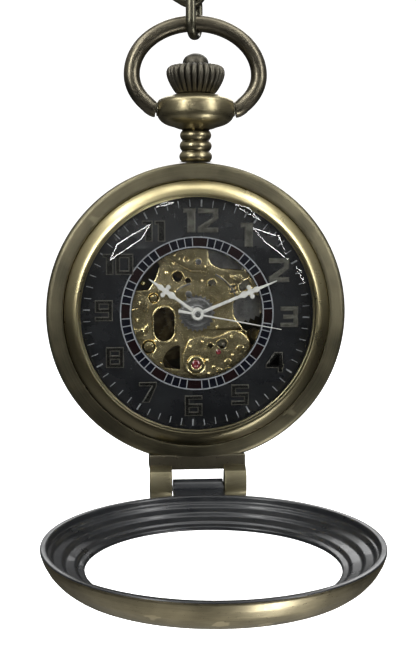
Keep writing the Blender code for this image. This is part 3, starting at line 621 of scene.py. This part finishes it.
def moved(shape, x=0.0, y=0.0, z=0.0, aim="Y"):
    """A shape with its height axis aimed, and then moved in the watch."""
    matrix = Matrix.Translation((x, y, z)) @ AIMS[aim]
    bmesh.ops.transform(shape, matrix=matrix, verts=shape.verts)
    return shape


def rotated(shape, degrees, axis):
    matrix = Matrix.Rotation(radians(degrees), 3, axis)
    bmesh.ops.rotate(shape, matrix=matrix, verts=shape.verts)
    return shape


def piece(name, shape, materials, body="case", replaced=(), about=(0, 0, 0), sharp=40):
    """One finished piece from a shape in the watch's axes and millimetres."""
    bmesh.ops.translate(shape, vec=[-value for value in about], verts=shape.verts)
    bmesh.ops.scale(shape, vec=(MM, MM, MM), verts=shape.verts)
    bmesh.ops.recalc_face_normals(shape, faces=shape.faces)
    thing = as_object(name, shape, materials if isinstance(materials, list) else [materials])
    thing.data.shade_smooth()
    thing.data.set_sharp_from_angle(angle=radians(sharp))
    thing.location = place(*about)
    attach(thing, body)
    if replaced:
        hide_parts(*replaced)


# ------------------------------------------------------------------------------------------
# Chain, bow, pendant and crown
# ------------------------------------------------------------------------------------------


def link_path(middle, long_way, wide_way, half_long, bend):
    """The middle of a link's wire: a loop with two straight sides."""
    path = []
    straight = half_long - bend
    for end, sign in ((-90, -1), (90, 1)):
        for k in range(25):
            turn = radians(end - 90 + 7.5 * k)
            along = sign * straight + bend * sin(turn)
            path.append(middle + long_way * along + wide_way * bend * cos(turn))
    return path


def chain_piece(name, node, body, path, normal, in_plane, across, sides=24):
    shape = swept(path, normal, in_plane * WIRE_FIT, across * WIRE_FIT, sides)
    piece(name, shape, BRONZE_DARK, body, [node])


def middle_of(node):
    low, high = local(node)
    return (low + high) / 2


def make_chain():
    thick, wide, bend, straight = 0.55, 0.775, 2.2, 2.2
    half_long = bend + straight / 2
    turn, lean = radians(18.5), radians(60)
    out = Vector((sin(turn), cos(turn), 0))
    facing = Vector((cos(turn), -sin(turn), 0))
    path = link_path(middle_of("chain_link_lower"), Vector((0, 0, 1)), out, half_long, bend)
    chain_piece("lower_chain_link", "chain_link_lower", "link_lower", path, facing, thick, wide)

    up = Vector((-sin(lean), 0, cos(lean)))
    out = Vector((up.z, 0, -up.x))
    path = link_path(middle_of("chain_link_upper"), up, out, half_long, bend)
    chain_piece("upper_chain_link", "chain_link_upper", "chain_top", path, Vector((0, 1, 0)),
                thick, wide)

    low, high = local("chain_ring")
    wire = (high.x - low.x) / 2
    reach = (high.z - low.z) / 2 - wire
    path = [
        (low + high) / 2 + Vector((0, reach * sin(2 * pi * k / 72), reach * cos(2 * pi * k / 72)))
        for k in range(72)
    ]
    chain_piece("top_chain_ring", "chain_ring", "chain_top", path, Vector((1, 0, 0)), wire, wire,
                20)


def beside_ball(shape, side):
    """A turned shape laid along X from the ball's middle, on its left (-1) or its right (1)."""
    bmesh.ops.scale(shape, vec=(1, 1, side), verts=shape.verts)
    return moved(shape, *BALL_AT, "X")


def make_bow():
    """A stirrup of round wire, with its ends cut flat against the ball and pinned into it."""
    across, up, down, middle_z, wire = 9.72, 7.68, 6.78, 36.3, 1.24
    first = radians(49)
    ends = [(6.12, 0.0), (6.3, 0.02), (6.5, 0.09), (6.75, 0.24), (7.0, 0.42)]
    path = [Vector((-x, STEM_Y, BALL_Z + z)) for x, z in ends]
    count = 88
    for k in range(count + 1):
        turn = first + (2 * pi - 2 * first) * k / count
        tall = down if cos(turn) > 0 else up
        path.append(Vector((-across * sin(turn), STEM_Y, middle_z - tall * cos(turn))))
    path += [Vector((x, STEM_Y, BALL_Z + z)) for x, z in reversed(ends)]
    shapes = [swept(path, Vector((0, 1, 0)), wire, wire, 28, False)]
    for side in (-1, 1):
        rod = turned([(0, 4.65), (0.55, 4.65), (0.55, 6.3), (0, 6.3)], 24)
        shapes.append(beside_ball(rod, side))
    piece("bow_wire", joined(shapes), BRONZE_BOW, "bow", ["bow"], BALL_AT)


def make_pendant():
    """The lens-shaped ball on a neck of three equal beads, flaring where it meets the case."""
    wide, up, down = 5.95, 2.22, 2.9
    profile = [(0.8, BALL_Z + up), (3.2, BALL_Z + up)]
    for k in range(33):
        lean = radians(66 - 128 * k / 32)
        boxy, tall = (0.55, up) if lean > 0 else (0.72, down)
        reach = wide * cos(lean) ** boxy
        profile.append((reach, BALL_Z + tall * abs(sin(lean)) ** boxy * (1 if lean > 0 else -1)))
    profile += [(2.6, 28.14), (2.15, 28.06)]
    for k in range(3):
        top = 28.0 - 1.62 * k
        for step in range(9):
            t = step / 8
            swell = 2.05 + 0.06 * k + 0.36 * sin(pi * t) ** 0.8
            profile.append((swell, top - 0.06 - 1.5 * t))
    profile += [(2.7, 23.14), (0.8, 23.14)]
    piece("pendant_ball_and_neck", moved(turned(profile, 112), 0, STEM_Y, 0, "Z"), BRONZE_LEVEL,
          "case", ["pendant"], BALL_AT, sharp=50)
    for name, side in (("left", -1), ("right", 1)):
        shape = turned(rounded([(0.62, 4.9), (1.05, 4.9), (1.05, 6.0), (0.62, 6.0)], 0.1), 40)
        piece(f"bow_socket_{name}", beside_ball(shape, side), BRONZE_DARK,
              about=BALL_AT)


def make_crown():
    """A ribbed crown that widens to scalloped shoulders under a domed button."""
    ribs, roundness, drop = 26, 0.7, 3
    # radius and height, then the rib's depth and the scallop's height where they aren't 0
    stations = [
        (0, 36.2), (0.6, 36.2), (0.6, 33.42), (2.7, 33.42), (2.9, 33.46, 0.02), (3.2, 33.7, 0.08),
        (3.55, 34.2, 0.10), (3.88, 34.75, 0.10), (4.16, 35.3, 0.10), (4.36, 35.85, 0.10),
        (4.47, 36.35, 0.10), (4.47, 36.8, 0.12, 0.02), (4.33, 37.2, 0.15, 0.06),
        (4.05, 37.5, 0.18, 0.10), (3.65, 37.7, 0.2, 0.14), (3.2, 37.76, 0.2, 0.16),
        (2.7, 37.7, 0.18, 0.13), (2.25, 37.55, 0.08, 0.06), (2.02, 37.5), (1.98, 37.95),
        (1.95, 38.3), (1.82, 38.65), (1.6, 38.95), (1.25, 39.22), (0.75, 39.45), (0, 39.53),
    ]

    def rib(turn, index, radius, height):
        valley = 1 - abs(cos(ribs * turn / 2)) ** roundness
        depth, lift = (*stations[index][2:], 0, 0)[:2]
        return radius * (1 - depth * valley), height - lift * valley * drop

    profile = [station[:2] for station in stations]
    shape = moved(turned(profile, ribs * 10, rib), 0, STEM_Y, 0, "Z")
    piece("ribbed_crown", shape, BRONZE_CROWN, "crown", ["crown"],
          (0, STEM_Y, 36), sharp=55)


# ------------------------------------------------------------------------------------------
# Case
# ------------------------------------------------------------------------------------------


def make_case():
    profile = rounded(
        [
            (19.4, -1.9), (20.32, -1.9), (20.36, -2.36), (20.7, -2.38), (22.35, -2.12),
            (22.8, -1.9), (CASE_R, -1.4), (CASE_R, 1.8), (22.8, 3.6), (22.4, 4.4), (19.4, 4.4),
        ],
        0.22, 3,
    )
    ring = moved(turned(profile, 192))
    outline = rounded(
        [(-LIP_HALF_W, -24.2), (LIP_HALF_W, -24.2), (LIP_HALF_W, -21.8), (-LIP_HALF_W, -21.8)],
        0.3,
    )
    lip = moved(plate([outline], -2.15, 1.6, 0.22))
    for face in lip.faces:
        face.material_index = 1
    piece("case_middle", joined([ring, lip]), [BRONZE_ROUND, BRONZE_BOW],
          "case", ["case_band"])

    profile = [
        (17.75, -2.12), (20.26, -2.12), (20.26, -2.5), (19.95, -2.95), (19.45, -3.45),
        (18.9, -3.85), (18.4, -4.07), (18.1, -4.05), (18.02, -3.9), (18.02, -3.15), (17.75, -3.0),
    ]
    piece("polished_bezel", moved(turned(rounded(profile, 0.35, 4), 192)), BRASS,
          "case", ["bezel"])

    edge_y, rise, reach, wall = -4.0, 1.6, 17.92, 0.72
    dome = [(reach * k / 24, edge_y - rise * (1 - (k / 24) ** 2)) for k in range(25)]
    inside = [(r * 0.975, y + wall) for r, y in reversed(dome[:24])]
    profile = dome + [(reach, -3.25), (reach * 0.97, -3.2)] + inside
    piece("domed_crystal", moved(turned(profile, 128)), GLASS, "case",
          ["crystal"])

    profile = rounded(
        [
            (0, 6.1), (12.3, 6.1), (16.8, 5.8), (20.0, 5.15), (21.2, 4.5), (22.46, 4.5),
            (22.3, 5.0), (21.9, 5.25), (21.75, 5.2), (20.5, 5.88), (17.0, 6.58), (12.7, 6.86),
            (12.5, 6.82), (12.3, 6.9), (0, 6.9),
        ],
        0.12, 3, False,
    )
    piece("rear_cover", moved(turned(profile, 160)), BRONZE_ROUND, "case",
          ["case_back"])


def make_hinge():
    """The two lugs, whose tops rise in front of the case's lip, and the pin through them."""
    knuckle_r, bevel, gap = 1.54, 0.14, 0.02
    top = [(0.75, 2.64), (0.52, 2.64), (0.5, 3.45), (0.2, 3.45), (-1.1, 2.75), (-knuckle_r, 2.0)]
    outline = arc(knuckle_r, 180, 360, 24)
    hole = circle(PIN_HOLE_R, steps=24)
    long = LIP_HALF_W - LUG_INNER_X
    for name, start in (("left", -LIP_HALF_W), ("right", LUG_INNER_X)):
        shape = plate([rounded(top, bevel, 3, False) + outline, hole],
                      start + gap, start + long - gap, bevel)
        shape = moved(shape, 0, HINGE_Y, HINGE_Z, "X")
        piece(f"hinge_knuckle_{name}", shape, BRONZE_ROUND, "case",
              [f"hinge_lug_{name}"])
    reach, rod_r, tip_r = LIP_HALF_W - 0.1, 0.44, 0.3
    profile = [(0, -reach), (tip_r, -reach), (rod_r, -reach + bevel), (rod_r, reach - bevel),
               (tip_r, reach), (0, reach)]
    shape = moved(turned(profile, 32), 0, HINGE_Y, HINGE_Z, "X")
    piece("hinge_rod", shape, STEEL, "case", ["hinge_pin"])


def make_cover():
    """A ring with a wide open window, bronze outside and black lacquer inside."""
    outside = [
        (21.75, 0.0), (22.6, 0.0), (22.63, 0.4), (22.33, 1.3), (21.68, 2.5), (20.8, 3.52),
        (19.75, 4.33), (18.8, 4.42), (17.55, 4.02), (16.87, 3.75),
    ]
    inside = [
        (16.87, 3.25), (17.8, 3.12), (18.1, 2.75), (19.5, 2.5), (19.75, 1.95), (21.0, 1.6),
        (21.2, 1.1), (21.7, 0.95),
    ]
    seat_y = 0.1
    round_steps, steps = 4, 240
    profile = rounded(outside + inside, 0.28, round_steps)
    first_inside = (round_steps + 1) * len(outside)
    rim_bands = 8  # the rim's edge is black as well, as far as its rounding
    shape = turned([(r, seat_y - depth) for r, depth in profile], steps)
    shape.faces.ensure_lookup_table()
    for number, face in enumerate(shape.faces):
        band = number // steps
        black = band >= first_inside - rim_bands or band <= rim_bands
        face.material_index = 1 if black else 0
    shape = moved(shape, 0, 0, -HINGE_Z)
    knuckle_r, tab_top, half_wide = 1.38, 4.7, 3.83
    knuckle = [(-knuckle_r, tab_top)] + arc(knuckle_r, 180, 450, 40)[:-1]
    knuckle += [(0.04, 1.37), (0.04, tab_top)]
    hole = circle(PIN_HOLE_R, steps=24)
    tab = moved(plate([knuckle, hole], -half_wide, half_wide, 0.1), aim="X")
    for face in tab.faces:
        face.material_index = 1
    whole = joined([shape, tab])
    matrix = Matrix.Translation((0, HINGE_Y, HINGE_Z)) @ Matrix.Rotation(COVER_OPEN, 4, "X")
    bmesh.ops.transform(whole, matrix=matrix, verts=whole.verts)
    piece("window_cover", whole, [BRONZE_LID_WITH_PAINTED_LIGHT, LACQUER], "front_cover",
          ["front_cover"])


# ------------------------------------------------------------------------------------------
# Dial and hands
# ------------------------------------------------------------------------------------------


def spoke(inner, outer, degrees, half):
    """The outline of a bar that runs out across the dial."""
    side = Vector(clock(half, degrees + 90))
    start, end = Vector(clock(inner, degrees)), Vector(clock(outer, degrees))
    return [tuple(p) for p in (start - side, start + side, end + side, end - side)]


def cell(inner, outer, middle, half):
    """One painted cell of the chapter ring."""
    half -= 0.3
    low, high = 90 - middle - half, 90 - middle + half
    outline = arc(inner + 0.1, low, high, 8) + arc(outer - 0.1, high, low, 8)
    return plate([outline], DIAL_Y - 0.02, PAINT_BACK)


def make_dial():
    outlines = [circle(18.85, steps=160), circle(DIAL_WINDOW_R, steps=128)]
    shape = moved(plate(outlines, DIAL_Y, DIAL_Y + 0.4, 0.06))
    piece("dial_plate", shape, DIAL_BLACK, "case", ["dial"])

    line, inner, outer = 0.09, 10.22, 11.72
    shapes = []
    for reach in (inner, outer):
        outlines = [circle(reach + line, steps=144), circle(reach - line, steps=144)]
        shapes.append(plate(outlines, PAINT_FRONT, PAINT_BACK))
    cells = {"navy": [], "red": []}
    ticks = []
    for minute in range(60):
        middle = 6 * minute + DIAL_TURN
        if minute % 5:
            bar = spoke(inner, outer, middle, line * 0.75)
            shapes.append(plate([bar], PAINT_FRONT, PAINT_BACK))
        else:
            cells["red"].append(cell(inner, outer, middle, 6))
        if minute % 5 in (1, 2, 3):
            cells["navy"].append(cell(inner, outer, middle + 3, 3))
        half = 0.06 if minute % 5 else 0.11
        ticks.append(plate([spoke(16.35, 17.4, middle, half)], PAINT_FRONT, PAINT_BACK, 0.008, 1))
    piece("chapter_ring", moved(joined(shapes)), LINE_WHITE)
    for colour, material in (("navy", CELL_NAVY), ("red", CELL_RED)):
        piece(f"chapter_cells_{colour}", moved(joined(cells[colour])), material)
    piece("minute_ticks", moved(joined(ticks)), TICK_WHITE)


# Digits on a grid three columns wide and five rows tall, as an outline and its holes
BLOCK = [(0, 0), (3, 0), (3, 5), (0, 5)]
LOW_HOLE = [(1, 1), (1, 2), (2, 2), (2, 1)]
HIGH_HOLE = [(1, 3), (1, 4), (2, 4), (2, 3)]
DIGITS = {
    "0": [BLOCK, [(1, 1), (1, 4), (2, 4), (2, 1)]],
    "1": [[(0.7, 0), (1.7, 0), (1.7, 5), (0, 5), (0, 4.1), (0.7, 4.1)]],
    "2": [[(0, 0), (3, 0), (3, 1), (1.35, 1), (3, 2.9), (3, 5), (0, 5), (0, 4), (2, 4),
           (2, 3.2), (0, 1.1)]],
    "3": [[(0, 0), (3, 0), (3, 5), (0, 5), (0, 4), (2, 4), (2, 3), (0.6, 3), (0.6, 2), (2, 2),
           (2, 1), (0, 1)]],
    "4": [[(1.9, 0), (2.9, 0), (2.9, 1.1), (3.3, 1.1), (3.3, 2), (2.9, 2), (2.9, 5), (1.5, 5),
           (0, 2), (0, 1.1), (1.9, 1.1)], [(1.9, 2), (1.05, 2), (1.9, 4)]],
    "5": [[(0, 0), (3, 0), (3, 3), (1, 3), (1, 4), (3, 4), (3, 5), (0, 5), (0, 2), (2, 2),
           (2, 1), (0, 1)]],
    "6": [[(0, 0), (3, 0), (3, 3), (1, 3), (1, 4), (3, 4), (3, 5), (0, 5)], LOW_HOLE],
    "7": [[(0.6, 0), (1.7, 0), (3, 4), (3, 5), (0, 5), (0, 4), (1.95, 4)]],
    "8": [BLOCK, LOW_HOLE, HIGH_HOLE],
    "9": [[(0, 0), (3, 0), (3, 5), (0, 5), (0, 2), (2, 2), (2, 1), (0, 1)], HIGH_HOLE],
}
# Where the grid's lines lie, in millimetres
COLUMNS = (0.0, 0.72, 2.0, 2.72, 3.1)
ROWS = (0.0, 0.64, 1.27, 1.9, 2.53, 3.17)


def on_grid(value, lines):
    """A value in grid units as millimetres, between the lines where it isn't whole."""
    whole = min(int(value), len(lines) - 2)
    return lines[whole] + (lines[whole + 1] - lines[whole]) * (value - whole)


def make_numerals():
    """Upright applied numerals with bevelled edges that catch the light."""
    gap, ring_r = 0.3, 14.25
    for hour in range(1, 13):
        size = 1.15 if hour in (12, 1, 2) else 1.0
        width = 0.0
        borders, faces = [], []
        for digit in str(hour):
            outlines = []
            for outline in DIGITS[digit]:
                outlines.append([
                    (width + size * on_grid(a, COLUMNS), size * on_grid(b, ROWS))
                    for a, b in outline
                ])
            borders.append(plate(outlines, DIAL_Y - 0.2, DIAL_Y - 0.01, 0.04, 1))
            faces.append(plate(outlines, DIAL_Y - 0.3, DIAL_Y - 0.1, 0.06, 1, 0.13))
            width = max(a for a, _ in outlines[0]) + gap * size
        face = joined(faces)
        for side in face.faces:
            side.material_index = 1
        whole = joined([joined(borders), face])
        x, z = clock(ring_r, 30 * hour + DIAL_TURN)
        whole = moved(whole, x - (width - gap * size) / 2, 0, z - size * ROWS[-1] / 2)
        # 12, 1, 2 and 3 take the lighter copy of the face, painted light on the upper right
        # numerals.
        metal = NUMERAL_PAINTED_LIGHT if hour in (12, 1, 2, 3) else NUMERAL_FACE
        piece(f"numeral_{hour}", whole, [NUMERAL_EDGE, metal], sharp=20)


def hand_outline(length, ornament, hub):
    """Half of a hand that swells to a cross of round lobes and ends in a point."""
    half = [(0.26, hub * 0.9), (0.22, ornament - 1.9), (0.34, ornament - 1.55)]
    half += [(0.52, ornament - 1.2), (0.5, ornament - 0.95), (0.3, ornament - 0.55)]
    half += arc(0.36, 215, 505, 12, (0.72, ornament))
    half += [(0.28, ornament + 0.5), (0.44, ornament + 0.85), (0.42, ornament + 1.1)]
    half += [(0.22, ornament + 1.45), (0.07, length)]
    return half


def make_hand(name, node, body, y, length, angle, hub, bore, ornament):
    half = hand_outline(length, ornament, hub)
    outline = half + [(-a, b) for a, b in reversed(half)]
    outline += arc(hub, 110, 430, 40)
    shape = moved(plate([outline, circle(bore, steps=32)], y + 0.01, y + 0.19, 0.05))
    piece(name, rotated(shape, angle, "Y"), ENAMEL, body, [node])


def make_hands():
    make_hand("hour_pointer", "hour_hand", "hours", -2.1, 9.1, 306, 1.0, 0.74, 6.0)
    make_hand("minute_pointer", "minute_hand", "minutes", -2.5, 13.2, 67.6, 0.85, 0.47, 8.8)
    outline = [(-0.24, -3.0), (-0.15, -0.88)] + arc(0.9, 260, 100, 20)
    outline += [(-0.13, 0.93), (-0.05, 13.08), (0.05, 13.08), (0.13, 0.93)]
    outline += arc(0.9, 80, -80, 20) + [(0.15, -0.88), (0.24, -3.0)]
    shape = moved(plate([outline, circle(0.5, steps=24)], -3.09, -2.86, 0.05))
    piece("seconds_pointer", rotated(shape, 100.6, "Y"), ENAMEL, "seconds",
          ["seconds_hand"])
    profile = [(0, -3.12), (0.16, -3.12), (0.22, -3.02), (0.4, -3.02), (0.48, -2.98), (0.48, -2.9),
               (0, -2.9)]
    piece("seconds_hub_cap", moved(turned(profile, 40)), STEEL, "seconds")


# ------------------------------------------------------------------------------------------
# Movement, as the dial's window shows it
# ------------------------------------------------------------------------------------------


def oblong(radius):
    """The outline of the plate's oblong opening, or of its rim."""
    return arc(radius, 0, 180, 20, (-5.0, -0.7)) + arc(radius, 180, 360, 20, (-5.0, -2.8))


def raised(name, outlines, low, high, bevel=0.2, material=None, replaced=()):
    """A gilt part on the plate, satin on its face and polished on its edges."""
    shape = plate(outlines, low, high, bevel, 3)
    shape.normal_update()
    for face in shape.faces:
        face.material_index = 0 if abs(face.normal.z) > 0.95 else 1
    piece(name, moved(shape), [material or GILT, GILT_BRIGHT], "case", replaced,
          sharp=25)


def make_plate():
    """The skeleton plate, with polished bevels round its openings."""
    right = arc(10.35, 15, -42, 16)
    right += [(8.3, -5.0), (7.9, -3.4), (6.8, -1.8), (5.9, -0.6), (5.7, 1.2), (6.4, 2.4)]
    top = [(1.7, 9.6), (2.3, 7.6), (3.6, 6.9), (5.2, 6.75), (7.6, 6.6)] + arc(10.35, 46, 76, 10)
    left_top = arc(10.35, 128, 160, 10) + [(-7.4, 3.6), (-6.3, 5.4), (-5.7, 7.3)]
    quarter = [(-2.3, -4.9), (-2.2, -9.2), (-5.0, -8.9), (-5.5, -7.6)]
    quarter += arc(3.3, 175, 105, 14, (-2.2, -8.0))
    slot = [(-2.15, 10.9), (-2.15, 15.6), (-0.9, 15.6), (-0.9, 17.2), (0.9, 17.2)]
    slot += [(0.9, 15.6), (2.15, 15.6), (2.15, 10.9)]
    notches = [
        [(5.35, 3.0), (6.3, 3.25), (6.2, 3.6), (5.25, 3.35)],
        [(5.15, 3.75), (6.1, 4.0), (6.0, 4.35), (5.05, 4.1)],
        [(6.9, 3.3), (8.6, 3.9), (8.1, 5.2), (6.6, 4.6)],
    ]
    holes = [circle(0.62, (2.42, 4.45)), circle(0.45, (-1.3, 4.9)), circle(0.8, (-2.9, 5.6)),
             circle(0.78, (3.98, -4.89)), circle(0.42, (2.11, -5.18)), circle(0.3, (7.3, -3.2)),
             circle(0.7, (-6.6, 2.3)), circle(0.98, (-7.35, -5.23)), circle(0.3, (4.9, -9.0)),
             circle(1.0, (0, 0))]
    outlines = [circle(17.55, steps=128), rounded(right, 0.3), rounded(top, 0.3)]
    outlines += [rounded(left_top, 0.3), oblong(1.6), rounded(quarter, 0.25), slot]
    outlines += [rounded(notch, 0.1) for notch in notches] + holes
    raised("skeleton_plate", outlines, 0.0, 1.0, 0.24, replaced=["main_plate"])


def make_front_details():
    outline = [(-4.9, 8.9), (-4.1, 8.2), (-0.9, 6.4), (0.9, 6.4), (1.6, 6.1), (1.9, 7.2)]
    outline += arc(10.6, 80, 117, 10)
    raised("upper_bridge", [rounded(outline, 0.35), circle(0.4, (0.2, 7.9)),
                            circle(0.3, (-1.6, 8.3))], -0.5, -0.03)

    outline = [(-2.0, -6.0), (-1.2, -4.1), (0.6, -3.5), (2.6, -3.9), (4.4, -3.2), (5.7, -2.6)]
    outline += [(7.4, -3.2), (8.4, -4.6), (8.3, -5.9), (7.1, -7.7)] + arc(10.7, 309, 277, 10)
    outline += [(-0.6, -9.9), (-1.9, -8.9), (-2.2, -7.4)]
    holes = [circle(0.75, (3.98, -4.89)), circle(0.4, (2.11, -5.18)), circle(1.35, (-0.08, -8.0))]
    raised("lower_bridge", [rounded(outline, 0.5)] + holes, -0.32, -0.03)

    raised("oblong_rim", [oblong(1.85), oblong(1.55)], -0.26, -0.02, 0.13, GILT_BRIGHT)

    outline = [(-9.9, 3.0), (-7.9, 2.9), (-7.3, 1.4), (-7.6, -0.3), (-7.2, -2.4), (-7.9, -3.6)]
    outline += arc(10.7, 199, 164, 10)
    hole = rounded(circle(1.6, (-9.0, -0.9), 12), 0.1)
    raised("left_bridge", [rounded(outline, 0.4), hole], -0.3, -0.03)

    profile = [(0.74, -1.0), (1.2, -1.0), (1.25, -0.9), (1.9, -0.9), (1.95, -0.95),
               (2.3, -0.95), (2.35, -0.88), (0.74, -0.88)]
    shape = moved(turned(rounded(profile, 0.03, 2), 64))
    piece("hour_wheel_collar", shape, STEEL, "hours")

    half = 0.16
    for name, reach, start, end in (("long", 6.6, 20, 64), ("short", 4.6, 100, 150)):
        outline = arc(reach + half, start, end, 20) + arc(reach - half, end, start, 20)
        raised(f"{name}_spring", [outline], SPRING_Y, SPRING_Y + 0.15, 0.05, STEEL)


# Where the rims and the pins stand: x, z, radius and the height of what they stand on
RIMS = [
    (2.42, 4.45, 0.62, 0.0), (-1.3, 4.9, 0.45, 0.0), (-2.9, 5.6, 0.8, 0.0),
    (3.98, -4.89, 0.75, -0.32), (2.11, -5.18, 0.4, -0.32), (7.3, -3.2, 0.3, 0.0),
    (4.9, -9.0, 0.3, -0.32), (0.2, 7.9, 0.4, -0.5),
]
PINS = [
    (-3.6, 7.7, 0.3, 0.0), (-4.6, 6.2, 0.34, 0.0), (-5.6, 4.4, 0.26, 0.0), (-3.3, 3.3, 0.3, 0.0),
    (-8.2, 4.6, 0.3, 0.0), (-8.9, 1.6, 0.32, -0.3), (-8.3, -2.6, 0.36, -0.3),
    (-9.2, -1.0, 0.3, -0.3), (-6.4, -4.3, 0.3, 0.0), (-3.2, -4.3, 0.24, 0.0),
    (-1.0, -5.2, 0.28, -0.32), (0.9, -4.5, 0.26, -0.32), (5.4, -3.7, 0.3, -0.32),
    (5.6, -6.6, 0.26, -0.32), (1.6, -7.4, 0.34, -0.32), (2.6, -8.4, 0.28, -0.32),
    (1.9, -9.4, 0.24, -0.32), (4.3, 1.2, 0.3, 0.0), (5.0, 2.2, 0.24, 0.0), (4.0, 5.6, 0.26, 0.0),
    (5.4, 5.6, 0.3, 0.0), (8.3, 5.4, 0.28, 0.0), (0.9, 4.9, 0.26, 0.0), (3.2, -2.2, 0.28, 0.0),
    (5.0, -1.2, 0.3, 0.0), (-2.6, 8.3, 0.22, -0.5), (-3.4, 8.9, 0.26, -0.5),
    (1.3, 7.2, 0.24, -0.5),
]


def make_rims():
    """Polished rims pressed into the plate's holes, and the pins that stand beside them."""
    shapes = []
    for x, z, radius, y in RIMS:
        profile = rounded([(radius - 0.02, y - 0.14), (radius + 0.2, y - 0.14),
                           (radius + 0.24, y + 0.02), (radius - 0.02, y + 0.3)], 0.05, 2)
        shapes.append(moved(turned(profile, 36), x, 0, z))
    for x, z, radius, y in PINS:
        profile = [(0, y - 0.3), (radius * 0.5, y - 0.28), (radius * 0.85, y - 0.2),
                   (radius, y - 0.08), (radius, y + 0.05), (0, y + 0.05)]
        shapes.append(moved(turned(profile, 24), x, 0, z))
    piece("polished_rims", joined(shapes), GILT_BRIGHT)


def screw(name, x, z, y, radius, angle, material):
    """A slotted cheese-head screw with a polished rim."""
    head = plate([circle(radius, steps=40)], y - 0.28, y + 0.9, 0.09)
    slot_low = [(-radius * 1.1, -0.1), (radius * 1.1, -0.1), (radius * 1.1, 0.1),
                (-radius * 1.1, 0.1)]
    cutter = plate([slot_low], y - 0.6, y - 0.16)
    whole = rotated(cut(head, cutter), angle, "Z")
    piece(name, moved(whole, x, 0, z), material, about=(x, 0, z), sharp=30)


def cut(shape, cutter):
    """A shape less another, made at once."""
    things = []
    for part in (shape, cutter):
        bmesh.ops.recalc_face_normals(part, faces=part.faces)
        things.append(as_object("cut", part))
    step = things[0].modifiers.new("cut", "BOOLEAN")
    step.operation = "DIFFERENCE"
    step.object = things[1]
    graph = bpy.context.evaluated_depsgraph_get()
    mesh = bpy.data.meshes.new_from_object(things[0].evaluated_get(graph))
    result = bmesh.new()
    result.from_mesh(mesh)
    for thing in things:
        bpy.data.objects.remove(thing)
    bpy.data.meshes.remove(mesh)
    return result


def make_front_screws():
    # x, z, the height under the head, radius, the slot's angle, material
    places = [
        (-7.35, -5.23, 0.0, 0.78, 35, GILT_BRIGHT),
        (6.5, 5.2, 0.0, 0.8, -30, GILT_BRIGHT),
        (6.8, -5.6, -0.34, 0.62, 60, GILT_BRIGHT),
        (4.9, -7.7, -0.34, 0.6, 10, GILT_BRIGHT),
        (3.5, -9.0, -0.34, 0.5, -50, GILT_BRIGHT),
        (-6.6, 2.3, 0.0, 0.55, 80, GILT_BRIGHT),
        (0.3, 7.9, -0.52, 0.42, 20, STEEL),
        (-1.2, 2.9, 0.0, 0.5, -20, STEEL),
    ]
    proud = 0.02
    for number, (x, z, y, radius, angle, material) in enumerate(places):
        screw(f"plate_screw_{number + 1}", x, z, y - proud, radius, angle, material)


def make_jewels():
    centre = (JEWEL_X, 0, JEWEL_Z)
    profile = rounded([(0.72, -0.5), (1.28, -0.5), (1.3, -0.06), (0.74, -0.06)], 0.12, 3)
    piece("jewel_chaton", moved(turned(profile, 56), *centre), GILT_BRIGHT,
          "case", ["jewel_setting"], centre)
    profile = [(0, -0.42), (0.18, -0.42), (0.22, -0.36), (0.4, -0.47), (0.6, -0.42), (0.7, -0.3),
               (0.7, -0.06), (0, -0.06)]
    piece("jewel_bearing", moved(turned(profile, 48), *centre), RUBY, "case",
          ["ruby_jewel"], centre)
    small = ((3.75, 2.6, 0.34), (0.1, 1.55, 0.4), (3.4, -6.1, 0.4))
    for number, (x, z, radius) in enumerate(small):
        y = 0.0 if z > 0 else -0.34
        gem = turned([(0, y - 0.16), (0.1, y - 0.16), (radius * 0.6, y - 0.2),
                      (radius, y - 0.1), (radius, y), (0, y)], 32)
        piece(f"small_jewel_{number + 1}", moved(gem, x, 0, z), RUBY, about=(x, 0, z))


def paint_inner_nodes():
    """The wheels and bridges keep their frame shapes and get the metals' finishes, the golden ones
    a darker gilt that is painted shade for their place behind the plate.
    """
    golden = ["balance_cock", "balance_wheel", "barrel_bridge", "centre_wheel", "fourth_wheel",
              "pallet_bridge", "third_wheel", "train_bridge"]
    finishes = {name: GILT_PAINTED_SHADE for name in golden}
    finishes.update(minute_wheel=GILT, movement_ring=BRASS)
    for name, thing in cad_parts.items():
        thing.data.materials.clear()
        thing.data.materials.append(finishes.get(name, STEEL))


bpy.context.scene.view_settings.view_transform = "Standard"
make_camera()
make_lights()
make_world()
make_stage()
make_lamp_frames()
make_chain()
make_bow()
make_pendant()
make_crown()
make_case()
make_hinge()
make_cover()
make_dial()
make_numerals()
make_hands()
make_plate()
make_front_details()
make_rims()
make_front_screws()
make_jewels()
paint_inner_nodes()
